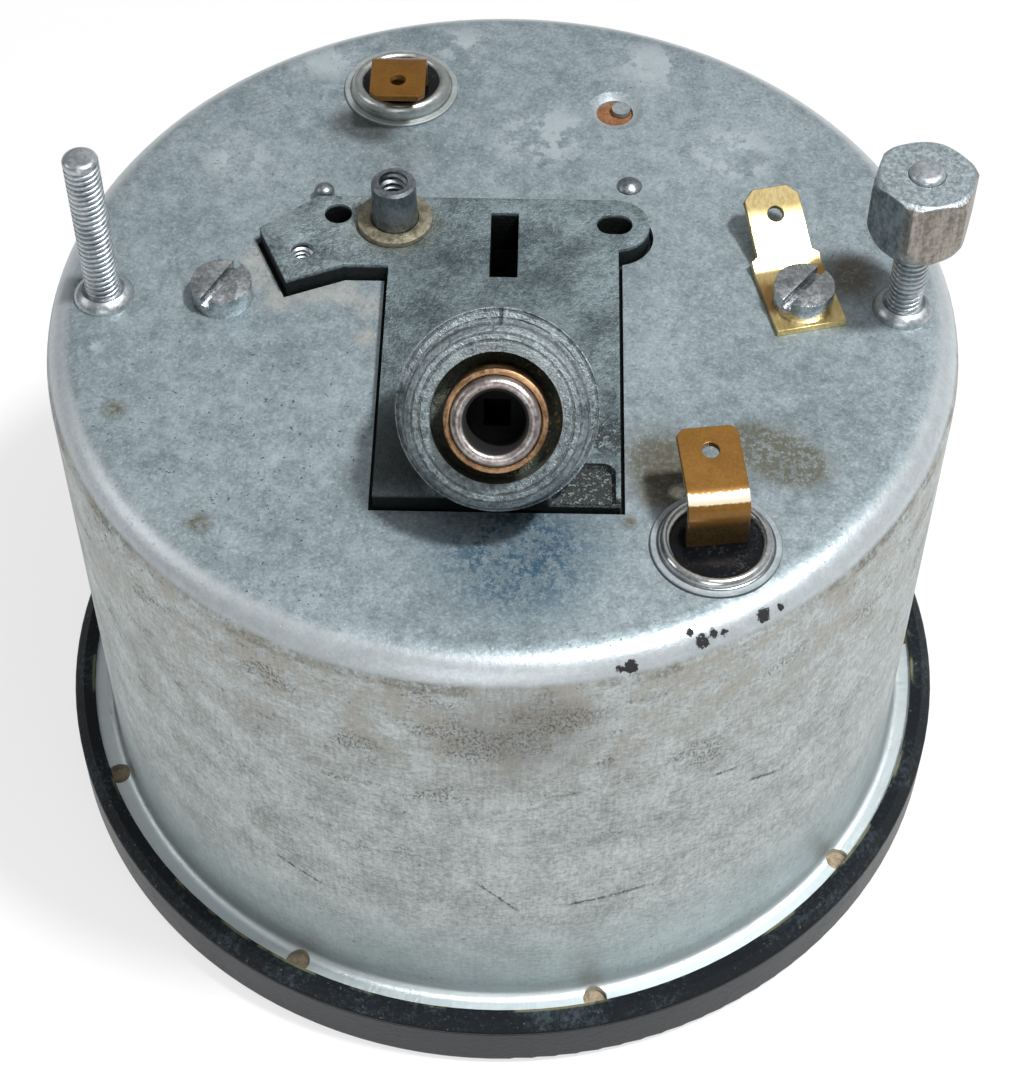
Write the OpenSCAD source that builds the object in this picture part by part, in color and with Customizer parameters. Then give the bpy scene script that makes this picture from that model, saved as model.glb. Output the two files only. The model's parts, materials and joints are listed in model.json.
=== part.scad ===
// Round dashboard speedometer with an inclined drive boss, lying face down on its bezel.
// Millimetres. Z = 0 is the front of the bezel, and +Z runs to the back of the case.
// The drive boss leans towards -Y, and the dial reads upright with +Y up, seen from the front.

/* [Case] */
// Outside diameter of the case wall
case_d = 100; // [96:1:106]
// Thickness of the case sheet
case_t = 0.8; // [0.6:0.1:1.2]
// Height of the outside of the case back
back_z = 71.5; // [70:0.5:78]
// Outside radius of the rear edge
back_fillet = 4; // [2:0.5:5]
// Radius where the wall turns out into the flange
foot_fillet = 1.2; // [0.6:0.1:1.8]
// Number of crimp notches round the flange
notch_count = 9; // [6:1:12]
// Radius of a crimp notch
notch_r = 1.4; // [1:0.1:1.6]
// Angle of the first crimp notch
notch_phase = 3.3; // [0:0.1:20]

/* [Rim] */
// How far the bezel stands out from the case wall
bezel_reach = 5.2; // [4.5:0.1:7]
// Width of the bezel's front land
bezel_land = 8.7; // [7:0.1:10]
// Thickness of the bezel's outer wall
bezel_wall = 1.2; // [0.8:0.1:1.4]
// Thickness of the bezel's front lip
bezel_front_t = 1.2; // [0.8:0.1:2]
// Radius of the bezel's front edge
bezel_round = 1; // [0.5:0.1:1.1]
// Width of the lip rolled over the case flange
bezel_roll = 1.4; // [0.8:0.1:1.8]
// Thickness of the rolled lip
bezel_roll_t = 0.9; // [0.5:0.1:1.2]
// Drop of the rolled lip to the outer edge
bezel_roll_drop = 1.1; // [0.5:0.1:1.6]
// Thickness of the seal in front of the lens
seal_t = 1; // [0.6:0.1:1.6]
// Thickness of the lens
lens_t = 2.2; // [1.5:0.1:3]
// Thickness of the brown gasket behind the lens
gasket_t = 1.9; // [1.5:0.1:2.6]
// Clearance between the bezel and what it holds
rim_gap = 0.3; // [0.1:0.05:0.5]

/* [Back fittings] */
// Distance of each mounting stud from the case wall
stud_in = 6.4; // [6.2:0.1:9]
// Thread diameter of the mounting studs
stud_d = 3.8; // [3:0.1:4]
// Length of a stud above the case back
stud_l = 20.4; // [18:0.2:26]
// Diameter of the weld collar round a stud
collar_d = 6.6; // [5.6:0.1:7]
// Height of the weld collar
collar_h = 1.2; // [0.8:0.1:2]
// Distance across the flats of the nut
nut_af = 10; // [8:0.5:10.5]
// Height of the nut
nut_h = 9; // [6:0.5:10]
// How far the stud stands out of the nut
nut_inset = 0.6; // [0.2:0.1:1.5]
// Turn of the nut about its stud
nut_turn = 12; // [0:1:59]
// X of the left frame screw
left_screw_x = -30.6; // [-32:0.1:-29.5]
// Distance of the right frame screw from the case wall
right_screw_in = 17.4; // [16:0.1:18.5]
// Shank diameter of the frame screws
screw_d = 3.9; // [3:0.1:4.2]
// Head diameter of the frame screws
screw_head_d = 6.6; // [6:0.1:7]
// Head height of the frame screws
screw_head_h = 2.6; // [2:0.1:3]
// Diameter of the right domed rivet
rivet_d = 3; // [2.4:0.1:3.4]
// Diameter of the left rivet
small_rivet_d = 2.3; // [2:0.1:2.6]
// Distance of the sight hole from the case wall
sight_in = 16.4; // [15:0.1:18]
// Angle of the sight hole round the case
sight_angle = 68.3; // [66:0.1:72]
// Diameter of the sight hole
sight_d = 4.3; // [3:0.1:5]

/* [Terminals] */
// Width of every push-on blade
blade_w = 6.3; // [4.8:0.1:6.5]
// Thickness of every push-on blade
blade_t = 0.8; // [0.5:0.1:0.9]
// Hole in a blade
blade_hole_d = 1.8; // [1.2:0.1:2.2]
// Width of the earth terminal's foot
foot_w = 7.8; // [7.2:0.1:9]
// Length of the earth blade past its bend
earth_l = 9.8; // [8:0.1:12]
// Rise angle of the earth blade
earth_rise = 26; // [10:1:60]
// Turn of the earth terminal about its screw
earth_turn = 14; // [0:1:30]

/* [Lamps] */
// Distance of the upper lamp holder from the case wall
upper_lamp_in = 13.3; // [12:0.1:14.5]
// Angle of the upper lamp holder round the case
upper_lamp_angle = 110.3; // [107:0.1:113]
// Distance of the lower lamp holder from the case wall
lower_lamp_in = 9.9; // [9.4:0.1:10.5]
// Angle of the lower lamp holder round the case
lower_lamp_angle = -56.4; // [-58:0.1:-55]
// Outside diameter of a lamp holder's flange
lamp_flange_d = 13.6; // [12.6:0.1:14]
// Outside diameter of the bright bead
lamp_bead_d = 11.7; // [11.2:0.1:12]
// Outside diameter of the lamp tube
lamp_tube_d = 10.4; // [9.6:0.1:10.6]
// Sheet thickness of the lamp holder
lamp_t = 0.4; // [0.3:0.05:0.5]
// Length of the lamp tube inside the case
lamp_tube_l = 15; // [12:0.5:18]
// Height of the upper holder's bead
upper_bead_h = 1.5; // [1.2:0.1:3]
// Height of the lower holder's bead
lower_bead_h = 1.2; // [0.9:0.1:2]
// Length of the upright leg of the lower tab
lower_leg = 6.2; // [4:0.2:8]
// Length of the sloping end of the lower tab
lower_end = 8.4; // [6:0.2:10]
// Slope of the lower tab's end
lower_slope = 18; // [0:1:40]
// Turn of the lower tab about its holder
lower_turn = 8; // [-20:1:20]
// Length of the upright leg of the upper tab
upper_leg = 4.8; // [2:0.2:8]
// Length of the overhanging end of the upper tab
upper_end = 7.8; // [5:0.2:9]
// Slope of the upper tab's end
upper_slope = 0; // [0:1:30]

/* [Plate and boss] */
// Gap between the cast plate and the case cut-out
pad_gap = 0.5; // [0.3:0.05:0.8]
// Height of the plate above the case back
pad_proud = 2; // [1:0.1:3]
// Thickness of the frame web inside the case
web_t = 3; // [2:0.1:4]
// Half width of the plate's body
pad_half = 12.6; // [12.4:0.1:13.4]
// Near edge of the plate
pad_near = -29.1; // [-31:0.1:-28.5]
// Far edge of the plate
pad_far = 14.1; // [13:0.1:15]
// Radius of the right lug
lug_r = 3.9; // [3:0.1:4.5]
// Depth of the rough pocket beside the boss
pocket_depth = 1; // [0.5:0.1:1.4]
// Rise of the drive axis above the horizontal
drive_tilt = 42; // [40:1:46]
// Depth of the bevel apex below the case back
apex_depth = 12.2; // [11.6:0.1:12.8]
// Distance of the boss collar from the apex
collar_t = 32.3; // [32:0.1:33.5]
// Diameter of the boss collar
boss_collar_d = 20.6; // [19:0.1:21]
// Thread diameter of the boss
boss_d = 18; // [17:0.1:18.4]
// Length of the boss thread
boss_thread_l = 7; // [6:0.5:10]
// Diameter of the cup in the boss end
cup_d = 13; // [12:0.1:14]
// Depth of the cup in the boss end
cup_depth = 4.5; // [3:0.5:6]

/* [Drive] */
// Outside diameter of the bronze drive bush
bush_d = 10.2; // [9.8:0.1:11]
// Diameter of the drive shaft's nose
shaft_d = 8.9; // [8:0.1:9.2]
// How far the bush stands out of the boss
bush_out = 2.5; // [1:0.1:4]
// How far the shaft's nose stands out of the bush
nose_out = 0.8; // [0.4:0.1:1.5]
// Diameter of the cable socket in the shaft
socket_d = 5.9; // [5:0.1:6.2]
// Depth of the cable socket
socket_depth = 8; // [6:0.5:10]
// Width of the square drive hole
square_w = 2.7; // [2.4:0.1:3.2]
// Running clearance of every shaft, on the radius
run_gap = 0.04; // [0.02:0.01:0.08]
// Teeth on each drive bevel
bevel_teeth = 16; // [14:1:18]
// Cone distance of the drive bevels
bevel_cone = 7; // [6.6:0.1:7.2]
// Face width of the drive bevels
bevel_face = 2.2; // [1.6:0.1:2.6]

/* [Speed movement] */
// Diameter of the magnet
magnet_d = 22; // [18:0.5:23]
// Thickness of the magnet
magnet_t = 5; // [4:0.5:6]
// Air gap on each side of the speed cup's wall
air_gap = 0.8; // [0.6:0.1:1]
// Wall of the speed cup
speed_cup_t = 0.6; // [0.4:0.1:0.8]
// Wall of the flux ring
flux_t = 1; // [0.8:0.1:1.4]
// Diameter of the magnet spindle
spindle_d = 4; // [3.4:0.1:4.2]
// Diameter of the pointer staff
staff_d = 1.5; // [1:0.1:1.8]
// Turns of the hairspring
spring_turns = 5; // [3:1:5]
// Pitch of the hairspring's turns
spring_pitch = 1; // [0.8:0.1:1.1]

/* [Counters] */
// Tooth count of every worm wheel
wheel_teeth = 10; // [10:1:12]
// Distance between a worm and its wheel
worm_centre = 6.3; // [6.2:0.05:6.8]
// Pitch radius of every worm
worm_r = 2.4; // [2.2:0.05:2.5]
// Height of a worm thread or wheel tooth beyond its pitch line
thread_add = 0.5; // [0.4:0.05:0.6]
// Width of a worm wheel
wheel_w = 2.4; // [1.6:0.1:2.6]
// Diameter of the small shafts
small_shaft_d = 2; // [1.6:0.1:2.2]
// Radius of the counter drums
drum_r = 6; // [5.5:0.1:6.2]
// Width of a drum
drum_w = 3.4; // [3:0.1:3.5]
// Distance from drum to drum
drum_pitch = 3.6; // [3.55:0.05:3.7]
// Y of the odometer drums
odometer_y = -20; // [-22:0.5:-19]
// Y of the trip drums
trip_y = 17; // [16:0.5:19]

/* [Trip reset] */
// X of the reset spindle
reset_x = -12.2; // [-12.6:0.1:-11.6]
// Y of the reset spindle
reset_y = 10.1; // [9.6:0.1:10.4]
// Diameter of the reset spindle
reset_d = 5.2; // [4.6:0.1:5.4]
// Height of the reset spindle above the plate
reset_h = 6.1; // [4:0.1:8]
// Diameter of the reset spindle at its top
reset_top_d = 4.9; // [4.4:0.1:5.4]
// Tapping hole in the reset spindle
reset_hole_d = 3.2; // [2.4:0.1:3.4]
// Flange diameter of the reset bush
reset_flange_d = 8.4; // [7.4:0.1:8.8]
// X of the reset arbor
arbor_x = -22; // [-23:0.5:-21.5]
// Teeth on each reset gear
reset_teeth = 16; // [14:1:18]
// Teeth on each reset bevel
reset_bevel_teeth = 12; // [10:1:14]
// Cone distance of the reset bevels
reset_cone = 5; // [4.6:0.1:5.4]

/* [Dial] */
// Height of the dial's face behind the bezel front
dial_z = 11.2; // [10.8:0.1:12.5]
// Thickness of the dial
dial_t = 0.8; // [0.5:0.1:1.2]
// Gap between the dial and the case wall
dial_gap = 1.4; // [0.8:0.1:3]
// Length of the pointer from its staff
pointer_l = 37; // [30:0.5:40]
// Sweep of the pointer
sweep = 250; // [200:5:270]
// Height of the counter windows
window_h = 4.6; // [4:0.1:6]

/* [Hidden] */
$fn = 64;
// Overshoot of every cut past the face that it opens
cut = 0.5;
// Lean of every gear flank
flank_angle = 20;

// Diameter of the tapped holes in the movement
tapping_d = 2.5;
// Diameter of the dial screws
dial_screw_d = 2;
// Turn of the driver slots in each kind of screw
frame_slot_turns = [62, 52];
plate_slot_turn = 20;
dial_slot_turn = 35;
// Clearance of a hole round a screw, on the diameter
screw_gap = 0.4;

stud_x = case_d / 2 - stud_in;
right_screw_x = case_d / 2 - right_screw_in;

// Rim stack, from the bezel front to the case flange
case_r = case_d / 2;
case_in_r = case_r - case_t;
inner_back_z = back_z - case_t;
bezel_r = case_r + bezel_reach;
bezel_in_r = bezel_r - bezel_wall;
rim_r = bezel_in_r - rim_gap;
seal_z = bezel_front_t;
lens_z = seal_z + seal_t;
gasket_z = lens_z + lens_t;
flange_z = gasket_z + gasket_t;
lip_z = flange_z + case_t;
roll_r = bezel_in_r - bezel_roll;
notch_at = roll_r - 0.9;

// Cast plate seen through the case back
pad_z = back_z + pad_proud;
web_z = inner_back_z - web_t;
lug_at = [pad_half - 0.4, pad_far - lug_r];
pad_points = [[-pad_half, pad_near], [pad_half, pad_near], [pad_half, pad_far], [-21, pad_far],
    [-27.2, 8.8], [-23.7, 0.8], [-17.5, 3.4], [-pad_half, 3.4]];
sight_at = polar(case_r - sight_in, sight_angle);
slot_at = [0, 6.8];
slot_size = [3.1, 10];
lug_hole_r = 1.5;
tapped_at = [-22.2, 5.4];
dowel_at = [-18.6, 11.3];
dowel_d = 3.1;
screw_xs = [left_screw_x, right_screw_x];
rivet_ats = [[14, 18.5], [-20.5, pad_far + 1.7]];
rivet_ds = [rivet_d, small_rivet_d];
// Plain height under each rivet's dome
rivet_stands = [0, 1.2];
rivet_shank_d = 1.6;
rivet_grip = 0.8;
// Rough pocket beside the boss, open to the plate's near edge
pocket_left = 5.6;
pocket_wall = 0.5;
pocket_l = 4.6;
pocket_r = 1.4;

// Lamp holders
upper_lamp_at = polar(case_r - upper_lamp_in, upper_lamp_angle);
lower_lamp_at = polar(case_r - lower_lamp_in, lower_lamp_angle);
lamp_hole_gap = 0.2;
lamp_in_r = lamp_tube_d / 2 - lamp_t;
insulator_t = 3;
insulator_sink = 0.5;
tab_root = 2;
bulb_cap_z = 1 - lamp_tube_l;

// Drive line, measured along its axis from the bevel apex
apex_z = back_z - apex_depth;
boss_end_t = collar_t + boss_thread_l;
bush_end_t = boss_end_t + bush_out;
nose_t = bush_end_t + nose_out;
tube_t = 11;
bevel_angle = (90 + drive_tilt) / 2;
bevel_add = 0.7;
bevel_ded = 0.95;
bevel_hub_t = 1.6;
boss_chamfer = 0.7;
collar_land = 2.5;
// Turn of the meshed drive bevels at rest
mesh_turn = 90 / bevel_teeth;
stem_d = 5;
stem_gap = 0.8;

// Movement stack, from the dial to the worm on the spindle
drum_z = dial_z + dial_t + 0.6 + drum_r;
plate_t = 2;
plate_z = drum_z + drum_r + 0.9;
plate_back_z = plate_z + plate_t;
spring_z = plate_back_z + 1;
spring_h = 0.8;
spring_in_r = 2.2;
spring_w = 0.2;
staff_bush_r = 2.5;
cup_z = spring_z + spring_h + 1.2;
magnet_z = cup_z + speed_cup_t + air_gap;
magnet_top_z = magnet_z + magnet_t;
speed_cup_r = magnet_d / 2 + air_gap;
flux_r = speed_cup_r + speed_cup_t + air_gap;
flux_z = magnet_top_z + 0.4;
worm_l = 6;
wheel_r = worm_centre - worm_r;
worm_z = flux_z + flux_t + wheel_r + thread_add + 0.5;
yoke_t = 5;
spindle_bush_r = spindle_d / 2 + 1;
yoke_z = apex_z - bevel_cone * cos(bevel_angle) - bevel_ded - bevel_hub_t - yoke_t - 0.2;
yoke_half = 11;
yoke_wall = 2.6;
yoke_depth = 6;

// Worm train
odometer_drums = 5;
trip_drums = 3;
worm_lead = 360 * wheel_r / wheel_teeth * PI / 180;
worm_root = worm_r - thread_add - 0.2;
worm_share = 0.28;
core_r = worm_root - 0.4;
cross_x = worm_centre;
lay_x = 2 * worm_centre;
odometer_lay_y = odometer_y + worm_centre;
trip_lay_y = trip_y - worm_centre;
post_w = 5;
post_t = 3;
cross_near_y = odometer_lay_y - worm_l / 2 - 1;
cross_far_y = trip_lay_y + worm_l / 2 + 1;
lay_top_z = worm_z + wheel_w / 2 + 2.4;
lay_low_z = drum_z - worm_l / 2 - 1;
small_r = small_shaft_d / 2;
cheek_t = 1.2;
cheek_left_x = -odometer_drums * drum_pitch / 2 - cheek_t - 0.4;
cheek_right_x = lay_x + wheel_w / 2 + 0.6;

// Reset train
reset_at = [reset_x, reset_y];
arbor_at = [arbor_x, trip_y];
reset_centre = norm(arbor_at - reset_at);
reset_gear_r = reset_centre / 2;
reset_gear_h = 3.5;
reset_gear_z = web_z - reset_gear_h - 0.6;
arbor_d = 3;
arbor_grip = 1.5;
reset_add = 0.7;
reset_ded = 0.9;
reset_tip = 0.3;
reset_flange_t = 0.8;
reset_hole_l = 7;
reset_face = 1.6;
reset_hub_t = 0.8;
bush_wall = 0.7;

// Dial furniture
dial_r = case_in_r - dial_gap;
plate_head_d = 2 * tapping_d;
post_r = 2.4;
post_x = min(-left_screw_x, right_screw_x) - plate_head_d / 2 - post_r - 1.7;
post_xs = [-post_x, post_x];
pillar_r = 3.2;
plate_screw_l = 4;
dial_screw_l = 4;
staff_hole_r = 2.2;
pointer_z = dial_z - 3.4;
pointer_t = 0.6;

// Shared shapes

function edge_dir(p, q) = (q - p) / norm(q - p);

// Outline of points moved outwards by g, for a counter-clockwise polygon
function grown(pts, g) = let (n = len(pts)) [for (i = [0 : n - 1])
    let (a = edge_dir(pts[(i + n - 1) % n], pts[i]), b = edge_dir(pts[i], pts[(i + 1) % n]))
    pts[i] + g / (1 + a * b) * [a[1] + b[1], -a[0] - b[0]]];

function polar(r, a) = r * [cos(a), sin(a)];

// Straight-flanked gear outline, with one tooth centred on angle 0; share is tooth width over pitch
function gear_points(teeth, r, add, ded, share) = let (half = share * PI * r / teeth)
    [for (i = [0 : teeth - 1], k = [[-ded, -1], [add, -1], [add, 1], [-ded, 1]])
        let (out = r + k[0], side = half - k[0] * tan(flank_angle))
        polar(out, i * 360 / teeth + k[1] * side / out * 180 / PI)];

module ring(r_out, r_in, h) {
    difference() {
        cylinder(r = r_out, h = h);
        translate([0, 0, -cut]) cylinder(r = r_in, h = h + 2 * cut);
    }
}

module bar_x(r, x0, x1) {
    translate([x0, 0, 0]) rotate([0, 90, 0]) cylinder(r = r, h = x1 - x0);
}

module bar_y(r, y0, y1) {
    translate([0, y0, 0]) rotate([-90, 0, 0]) cylinder(r = r, h = y1 - y0);
}

// Local Z runs out along the drive axis, from the apex
module on_drive(t) {
    translate([0, 0, apex_z]) rotate([90 - drive_tilt, 0, 0]) translate([0, 0, t]) children();
}

// Bevel gear with its apex at the origin and its axis along +Z; tooth 0 lies on angle turn
module bevel_gear(teeth, angle, cone, face, add, ded, bore, hub_t, turn) {
    pitch = 360 * cone * sin(angle) / teeth * PI / 180;
    half = 0.2 * pitch;
    flank = tan(flank_angle);
    sunk = 0.3;
    inner = (cone - face) / cone;
    root = [cone * sin(angle) - ded * cos(angle), cone * cos(angle) + ded * sin(angle)];
    rim = 1.02 * root;
    eye = 0.96 * inner * root;
    rotate_extrude() polygon([[bore, eye[1]], eye, rim, [rim[0], rim[1] + hub_t], [bore, rim[1] + hub_t]]);
    for (i = [0 : teeth - 1])
        rotate([0, 0, turn + i * 360 / teeth]) rotate([0, angle, 0]) translate([0, 0, cone])
            mirror([0, 0, 1]) linear_extrude(height = face, scale = inner)
                polygon([[-ded - sunk, -half - ded * flank], [add, -half + add * flank],
                    [add, half - add * flank], [-ded - sunk, half + ded * flank]]);
}

// Single-start worm about Z, centred on the origin, with a thread gap facing angle toward at its middle
module worm(toward) {
    wide = 180 * worm_share;
    start = toward + 180 - 180 * worm_l / worm_lead;
    section = concat([for (k = [-1 : 1]) polar(worm_r + thread_add, k * (wide - 12))],
        [for (k = [0 : 6]) polar(worm_root, wide + 12 + k * (336 - 2 * wide) / 6)]);
    translate([0, 0, -worm_l / 2]) rotate([0, 0, start])
        linear_extrude(height = worm_l, twist = -360 * worm_l / worm_lead, slices = 30, $fn = 10)
            polygon(section);
}

// Worm wheel about Z, centred on the origin, with a tooth on angle toward
module worm_wheel(toward) {
    translate([0, 0, -wheel_w / 2]) rotate([0, 0, toward]) linear_extrude(wheel_w)
        polygon(gear_points(wheel_teeth, wheel_r, thread_add, thread_add + 0.2, worm_share));
}

module slotted_head(d, h, slot_turn) {
    difference() {
        cylinder(d = d, h = h);
        rotate([0, 0, slot_turn]) translate([-d, -0.5, h - 1.1]) cube([2 * d, 1, 2]);
    }
}

// Case and rim

module can_shape(r, top, fillet, bottom) {
    translate([0, bottom]) square([r - fillet, top - bottom]);
    translate([0, bottom]) square([r, top - fillet - bottom]);
    translate([r - fillet, top - fillet]) circle(fillet);
}

module pad_outline(g) {
    polygon(grown(pad_points, g));
    translate(lug_at) circle(lug_r + g);
}

module case_profile() {
    difference() {
        union() {
            can_shape(case_r, back_z, back_fillet, flange_z);
            translate([0, flange_z]) square([rim_r, case_t]);
            translate([case_r - cut, lip_z]) difference() {
                square([foot_fillet + cut, foot_fillet]);
                translate([foot_fillet + cut, foot_fillet]) circle(foot_fillet);
            }
        }
        can_shape(case_in_r, inner_back_z, back_fillet - case_t, flange_z - cut);
    }
}

module case() {
    color("lightsteelblue") difference() {
        rotate_extrude() case_profile();
        translate([0, 0, inner_back_z - cut]) linear_extrude(case_t + 2 * cut) {
            pad_outline(pad_gap);
            for (x = screw_xs) translate([x, 0]) circle(d = screw_d + screw_gap);
            for (p = [upper_lamp_at, lower_lamp_at]) translate(p) circle(d = lamp_tube_d + lamp_hole_gap);
            for (p = rivet_ats) translate(p) circle(d = rivet_shank_d);
            translate(sight_at) circle(d = sight_d);
        }
        translate([sight_at[0], sight_at[1], back_z - case_t / 2])
            cylinder(d1 = sight_d, d2 = sight_d + 2.4, h = case_t / 2 + 0.01);
        for (i = [0 : notch_count - 1]) rotate([0, 0, notch_phase + i * 360 / notch_count])
            translate([notch_at, 0, flange_z - cut]) cylinder(r = notch_r, h = case_t + foot_fillet + cut);
    }
}

module bezel() {
    land_r = bezel_r - bezel_land;
    ease = bezel_round / 2;
    color("#22262a") rotate_extrude() difference() {
        union() {
            polygon([[land_r, ease], [land_r + ease, 0], [bezel_r - bezel_round, 0], [bezel_r, bezel_round],
                [bezel_r, lip_z + bezel_roll_t - bezel_roll_drop], [bezel_in_r, lip_z + bezel_roll_t],
                [roll_r, lip_z + bezel_roll_t], [roll_r, seal_z], [land_r, seal_z]]);
            translate([bezel_r - bezel_round, bezel_round]) circle(bezel_round);
        }
        translate([0, seal_z]) square([bezel_in_r, lip_z - seal_z]);
    }
}

module lens() {
    color("lightcyan", 0.4) translate([0, 0, lens_z]) cylinder(r = rim_r, h = lens_t);
}

module lens_seal() {
    color("#1b1b1b") translate([0, 0, seal_z]) ring(rim_r, bezel_r - bezel_land + 1, seal_t);
}

module rim_gasket() {
    color("saddlebrown") translate([0, 0, gasket_z]) ring(rim_r, case_in_r - 1, gasket_t);
}

// Fittings on the case back

module mounting_studs() {
    tip = 0.5;
    color("lightgray") for (x = [-stud_x, stud_x]) translate([x, 0, back_z]) {
        cylinder(d = stud_d, h = stud_l - tip);
        translate([0, 0, stud_l - tip]) cylinder(d1 = stud_d, d2 = stud_d - 2 * tip, h = tip);
        cylinder(d1 = collar_d, d2 = collar_d - 1, h = collar_h);
    }
}

module stud_nut() {
    corner = nut_af / cos(30) / 2;
    foot_r = nut_af / 2 - 1.6;
    wide = corner + cut;
    foot_h = 2.6;
    top_h = 0.8;
    color("silver") translate([stud_x, 0, back_z + stud_l - nut_inset - nut_h]) difference() {
        intersection() {
            rotate([0, 0, nut_turn]) cylinder(r = corner, h = nut_h, $fn = 6);
            rotate_extrude() polygon([[0, 0], [foot_r, 0], [wide, foot_h], [wide, nut_h - top_h],
                [nut_af / 2 - 0.1, nut_h], [0, nut_h]]);
        }
        translate([0, 0, -cut]) cylinder(r = stud_d / 2 + run_gap, h = nut_h + 2 * cut);
    }
}

module frame_screws() {
    length = back_z - web_z - 0.5;
    color("gray") for (i = [0, 1]) translate([screw_xs[i], 0, back_z + i * blade_t]) {
        translate([0, 0, -length - i * blade_t]) cylinder(d = screw_d, h = length + i * blade_t + 0.1);
        slotted_head(screw_head_d, screw_head_h, frame_slot_turns[i]);
    }
}

// Blade from the origin along +Y, with its end corners cut off by tip
module blade_outline(length, tip) {
    half = blade_w / 2;
    polygon([[-half, 0], [half, 0], [half, length - tip], [half - tip, length],
        [tip - half, length], [-half, length - tip]]);
}

module earth_terminal() {
    near = screw_head_d / 2 + 0.4;
    bend = screw_head_d / 2 + 1.9;
    shoulder = 2;
    tip = 1.2;
    color("gold") translate([right_screw_x, 0, back_z]) rotate([0, 0, earth_turn]) difference() {
        union() {
            translate([-foot_w / 2, -near, 0]) cube([foot_w, near + bend, blade_t]);
            translate([-foot_w / 2, bend, 0]) rotate([earth_rise, 0, 0])
                cube([foot_w, shoulder, blade_t]);
            translate([0, bend, 0]) rotate([earth_rise, 0, 0]) linear_extrude(blade_t)
                blade_outline(earth_l, tip);
        }
        translate([0, 0, -cut]) cylinder(d = screw_d + screw_gap, h = blade_t + 2 * cut);
        translate([0, bend, 0]) rotate([earth_rise, 0, 0]) translate([0, earth_l - 3.2, -cut])
            cylinder(d = blade_hole_d, h = blade_t + 2 * cut);
    }
}

// Runs its children at both lamp holders, turned with the tab, with the holder's bead height in $bead_h
module at_lamps() {
    for (lamp = [[upper_lamp_at, upper_bead_h, 180], [lower_lamp_at, lower_bead_h, lower_turn]]) {
        $bead_h = lamp[1];
        translate([lamp[0][0], lamp[0][1], back_z]) rotate([0, 0, lamp[2]]) children();
    }
}

module lamp_sleeves() {
    roll = (lamp_bead_d / 2 - lamp_in_r) / 2;
    color("gainsboro") at_lamps() rotate_extrude() {
        translate([lamp_in_r, 0]) square([lamp_flange_d / 2 - lamp_in_r, lamp_t]);
        translate([lamp_in_r, -lamp_tube_l]) square([lamp_t, lamp_tube_l + lamp_t]);
        translate([lamp_in_r, 0]) square([2 * roll, $bead_h - roll]);
        translate([lamp_in_r + roll, $bead_h - roll]) circle(roll);
    }
}

module lamp_insulators() {
    color("#151515") at_lamps() translate([0, 0, $bead_h - insulator_sink]) difference() {
        translate([0, 0, -insulator_t]) cylinder(r = lamp_in_r, h = insulator_t);
        translate([-blade_w / 2, -blade_t / 2, -tab_root]) cube([blade_w, blade_t, tab_root + cut]);
    }
}

// Bent strip whose upright leg stands at the origin; its end leans towards +Y
module bent_tab(leg, end, slope) {
    tip = 0.7;
    hole_in = 2.8;
    color("peru") {
        translate([-blade_w / 2, -blade_t / 2, -tab_root]) cube([blade_w, blade_t, leg + tab_root]);
        translate([0, -blade_t / 2, leg]) rotate([slope, 0, 0]) translate([0, 0, -blade_t]) difference() {
            linear_extrude(blade_t) blade_outline(end, tip);
            translate([0, end - hole_in, -cut]) cylinder(d = blade_hole_d, h = blade_t + 2 * cut);
        }
    }
}

module upper_lamp_tab() {
    translate([upper_lamp_at[0], upper_lamp_at[1], back_z + upper_bead_h - insulator_sink])
        rotate([0, 0, 180]) bent_tab(upper_leg, upper_end, upper_slope);
}

module lower_lamp_tab() {
    translate([lower_lamp_at[0], lower_lamp_at[1], back_z + lower_bead_h - insulator_sink])
        rotate([0, 0, lower_turn]) bent_tab(lower_leg, lower_end, lower_slope);
}

module lamp_caps() {
    color("goldenrod") at_lamps() translate([0, 0, bulb_cap_z])
        cylinder(r = lamp_in_r, h = $bead_h - insulator_sink - insulator_t - bulb_cap_z);
}

module lamp_bulbs() {
    neck = 0.67 * lamp_in_r;
    globe = 0.875 * lamp_in_r;
    color("whitesmoke", 0.5) at_lamps() translate([0, 0, bulb_cap_z]) {
        translate([0, 0, -globe]) cylinder(r = neck, h = globe);
        translate([0, 0, -globe - 1]) sphere(globe);
    }
}

module case_rivets() {
    dome = 0.8;
    color("slategray") for (i = [0, 1]) translate([rivet_ats[i][0], rivet_ats[i][1], back_z]) {
        dome_r = (rivet_ds[i] * rivet_ds[i] / 4 + dome * dome) / (2 * dome);
        translate([0, 0, -case_t - rivet_grip])
            cylinder(d = rivet_shank_d, h = case_t + rivet_grip + dome / 2);
        if (rivet_stands[i] > 0) cylinder(d = rivet_ds[i], h = rivet_stands[i]);
        translate([0, 0, rivet_stands[i]]) intersection() {
            translate([0, 0, dome - dome_r]) sphere(dome_r);
            cylinder(d = 2 * rivet_ds[i], h = dome + cut);
        }
    }
}

module sight_disc() {
    disc_t = 0.8;
    color("sienna") translate([sight_at[0], sight_at[1], inner_back_z - disc_t]) {
        cylinder(d = sight_d + 4, h = disc_t);
        translate([0.75, 0.55, disc_t]) cylinder(d = sight_d / 2, h = 0.9 * case_t);
    }
}

// Cast movement frame

module web_outline() {
    margin = pad_gap + 2.6;
    translate([-pad_half - margin, pad_near - margin])
        square([2 * (pad_half + margin), pad_far - pad_near + margin]);
    left = 0.4 - left_screw_x;
    translate([-left, -4]) square([left + lug_at[0] + lug_r + margin, rivet_ats[0][1] + 7]);
    translate([left_screw_x, -5]) square([right_screw_x - left_screw_x, 10]);
    for (x = screw_xs) translate([x, 0]) circle(5);
}

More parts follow.
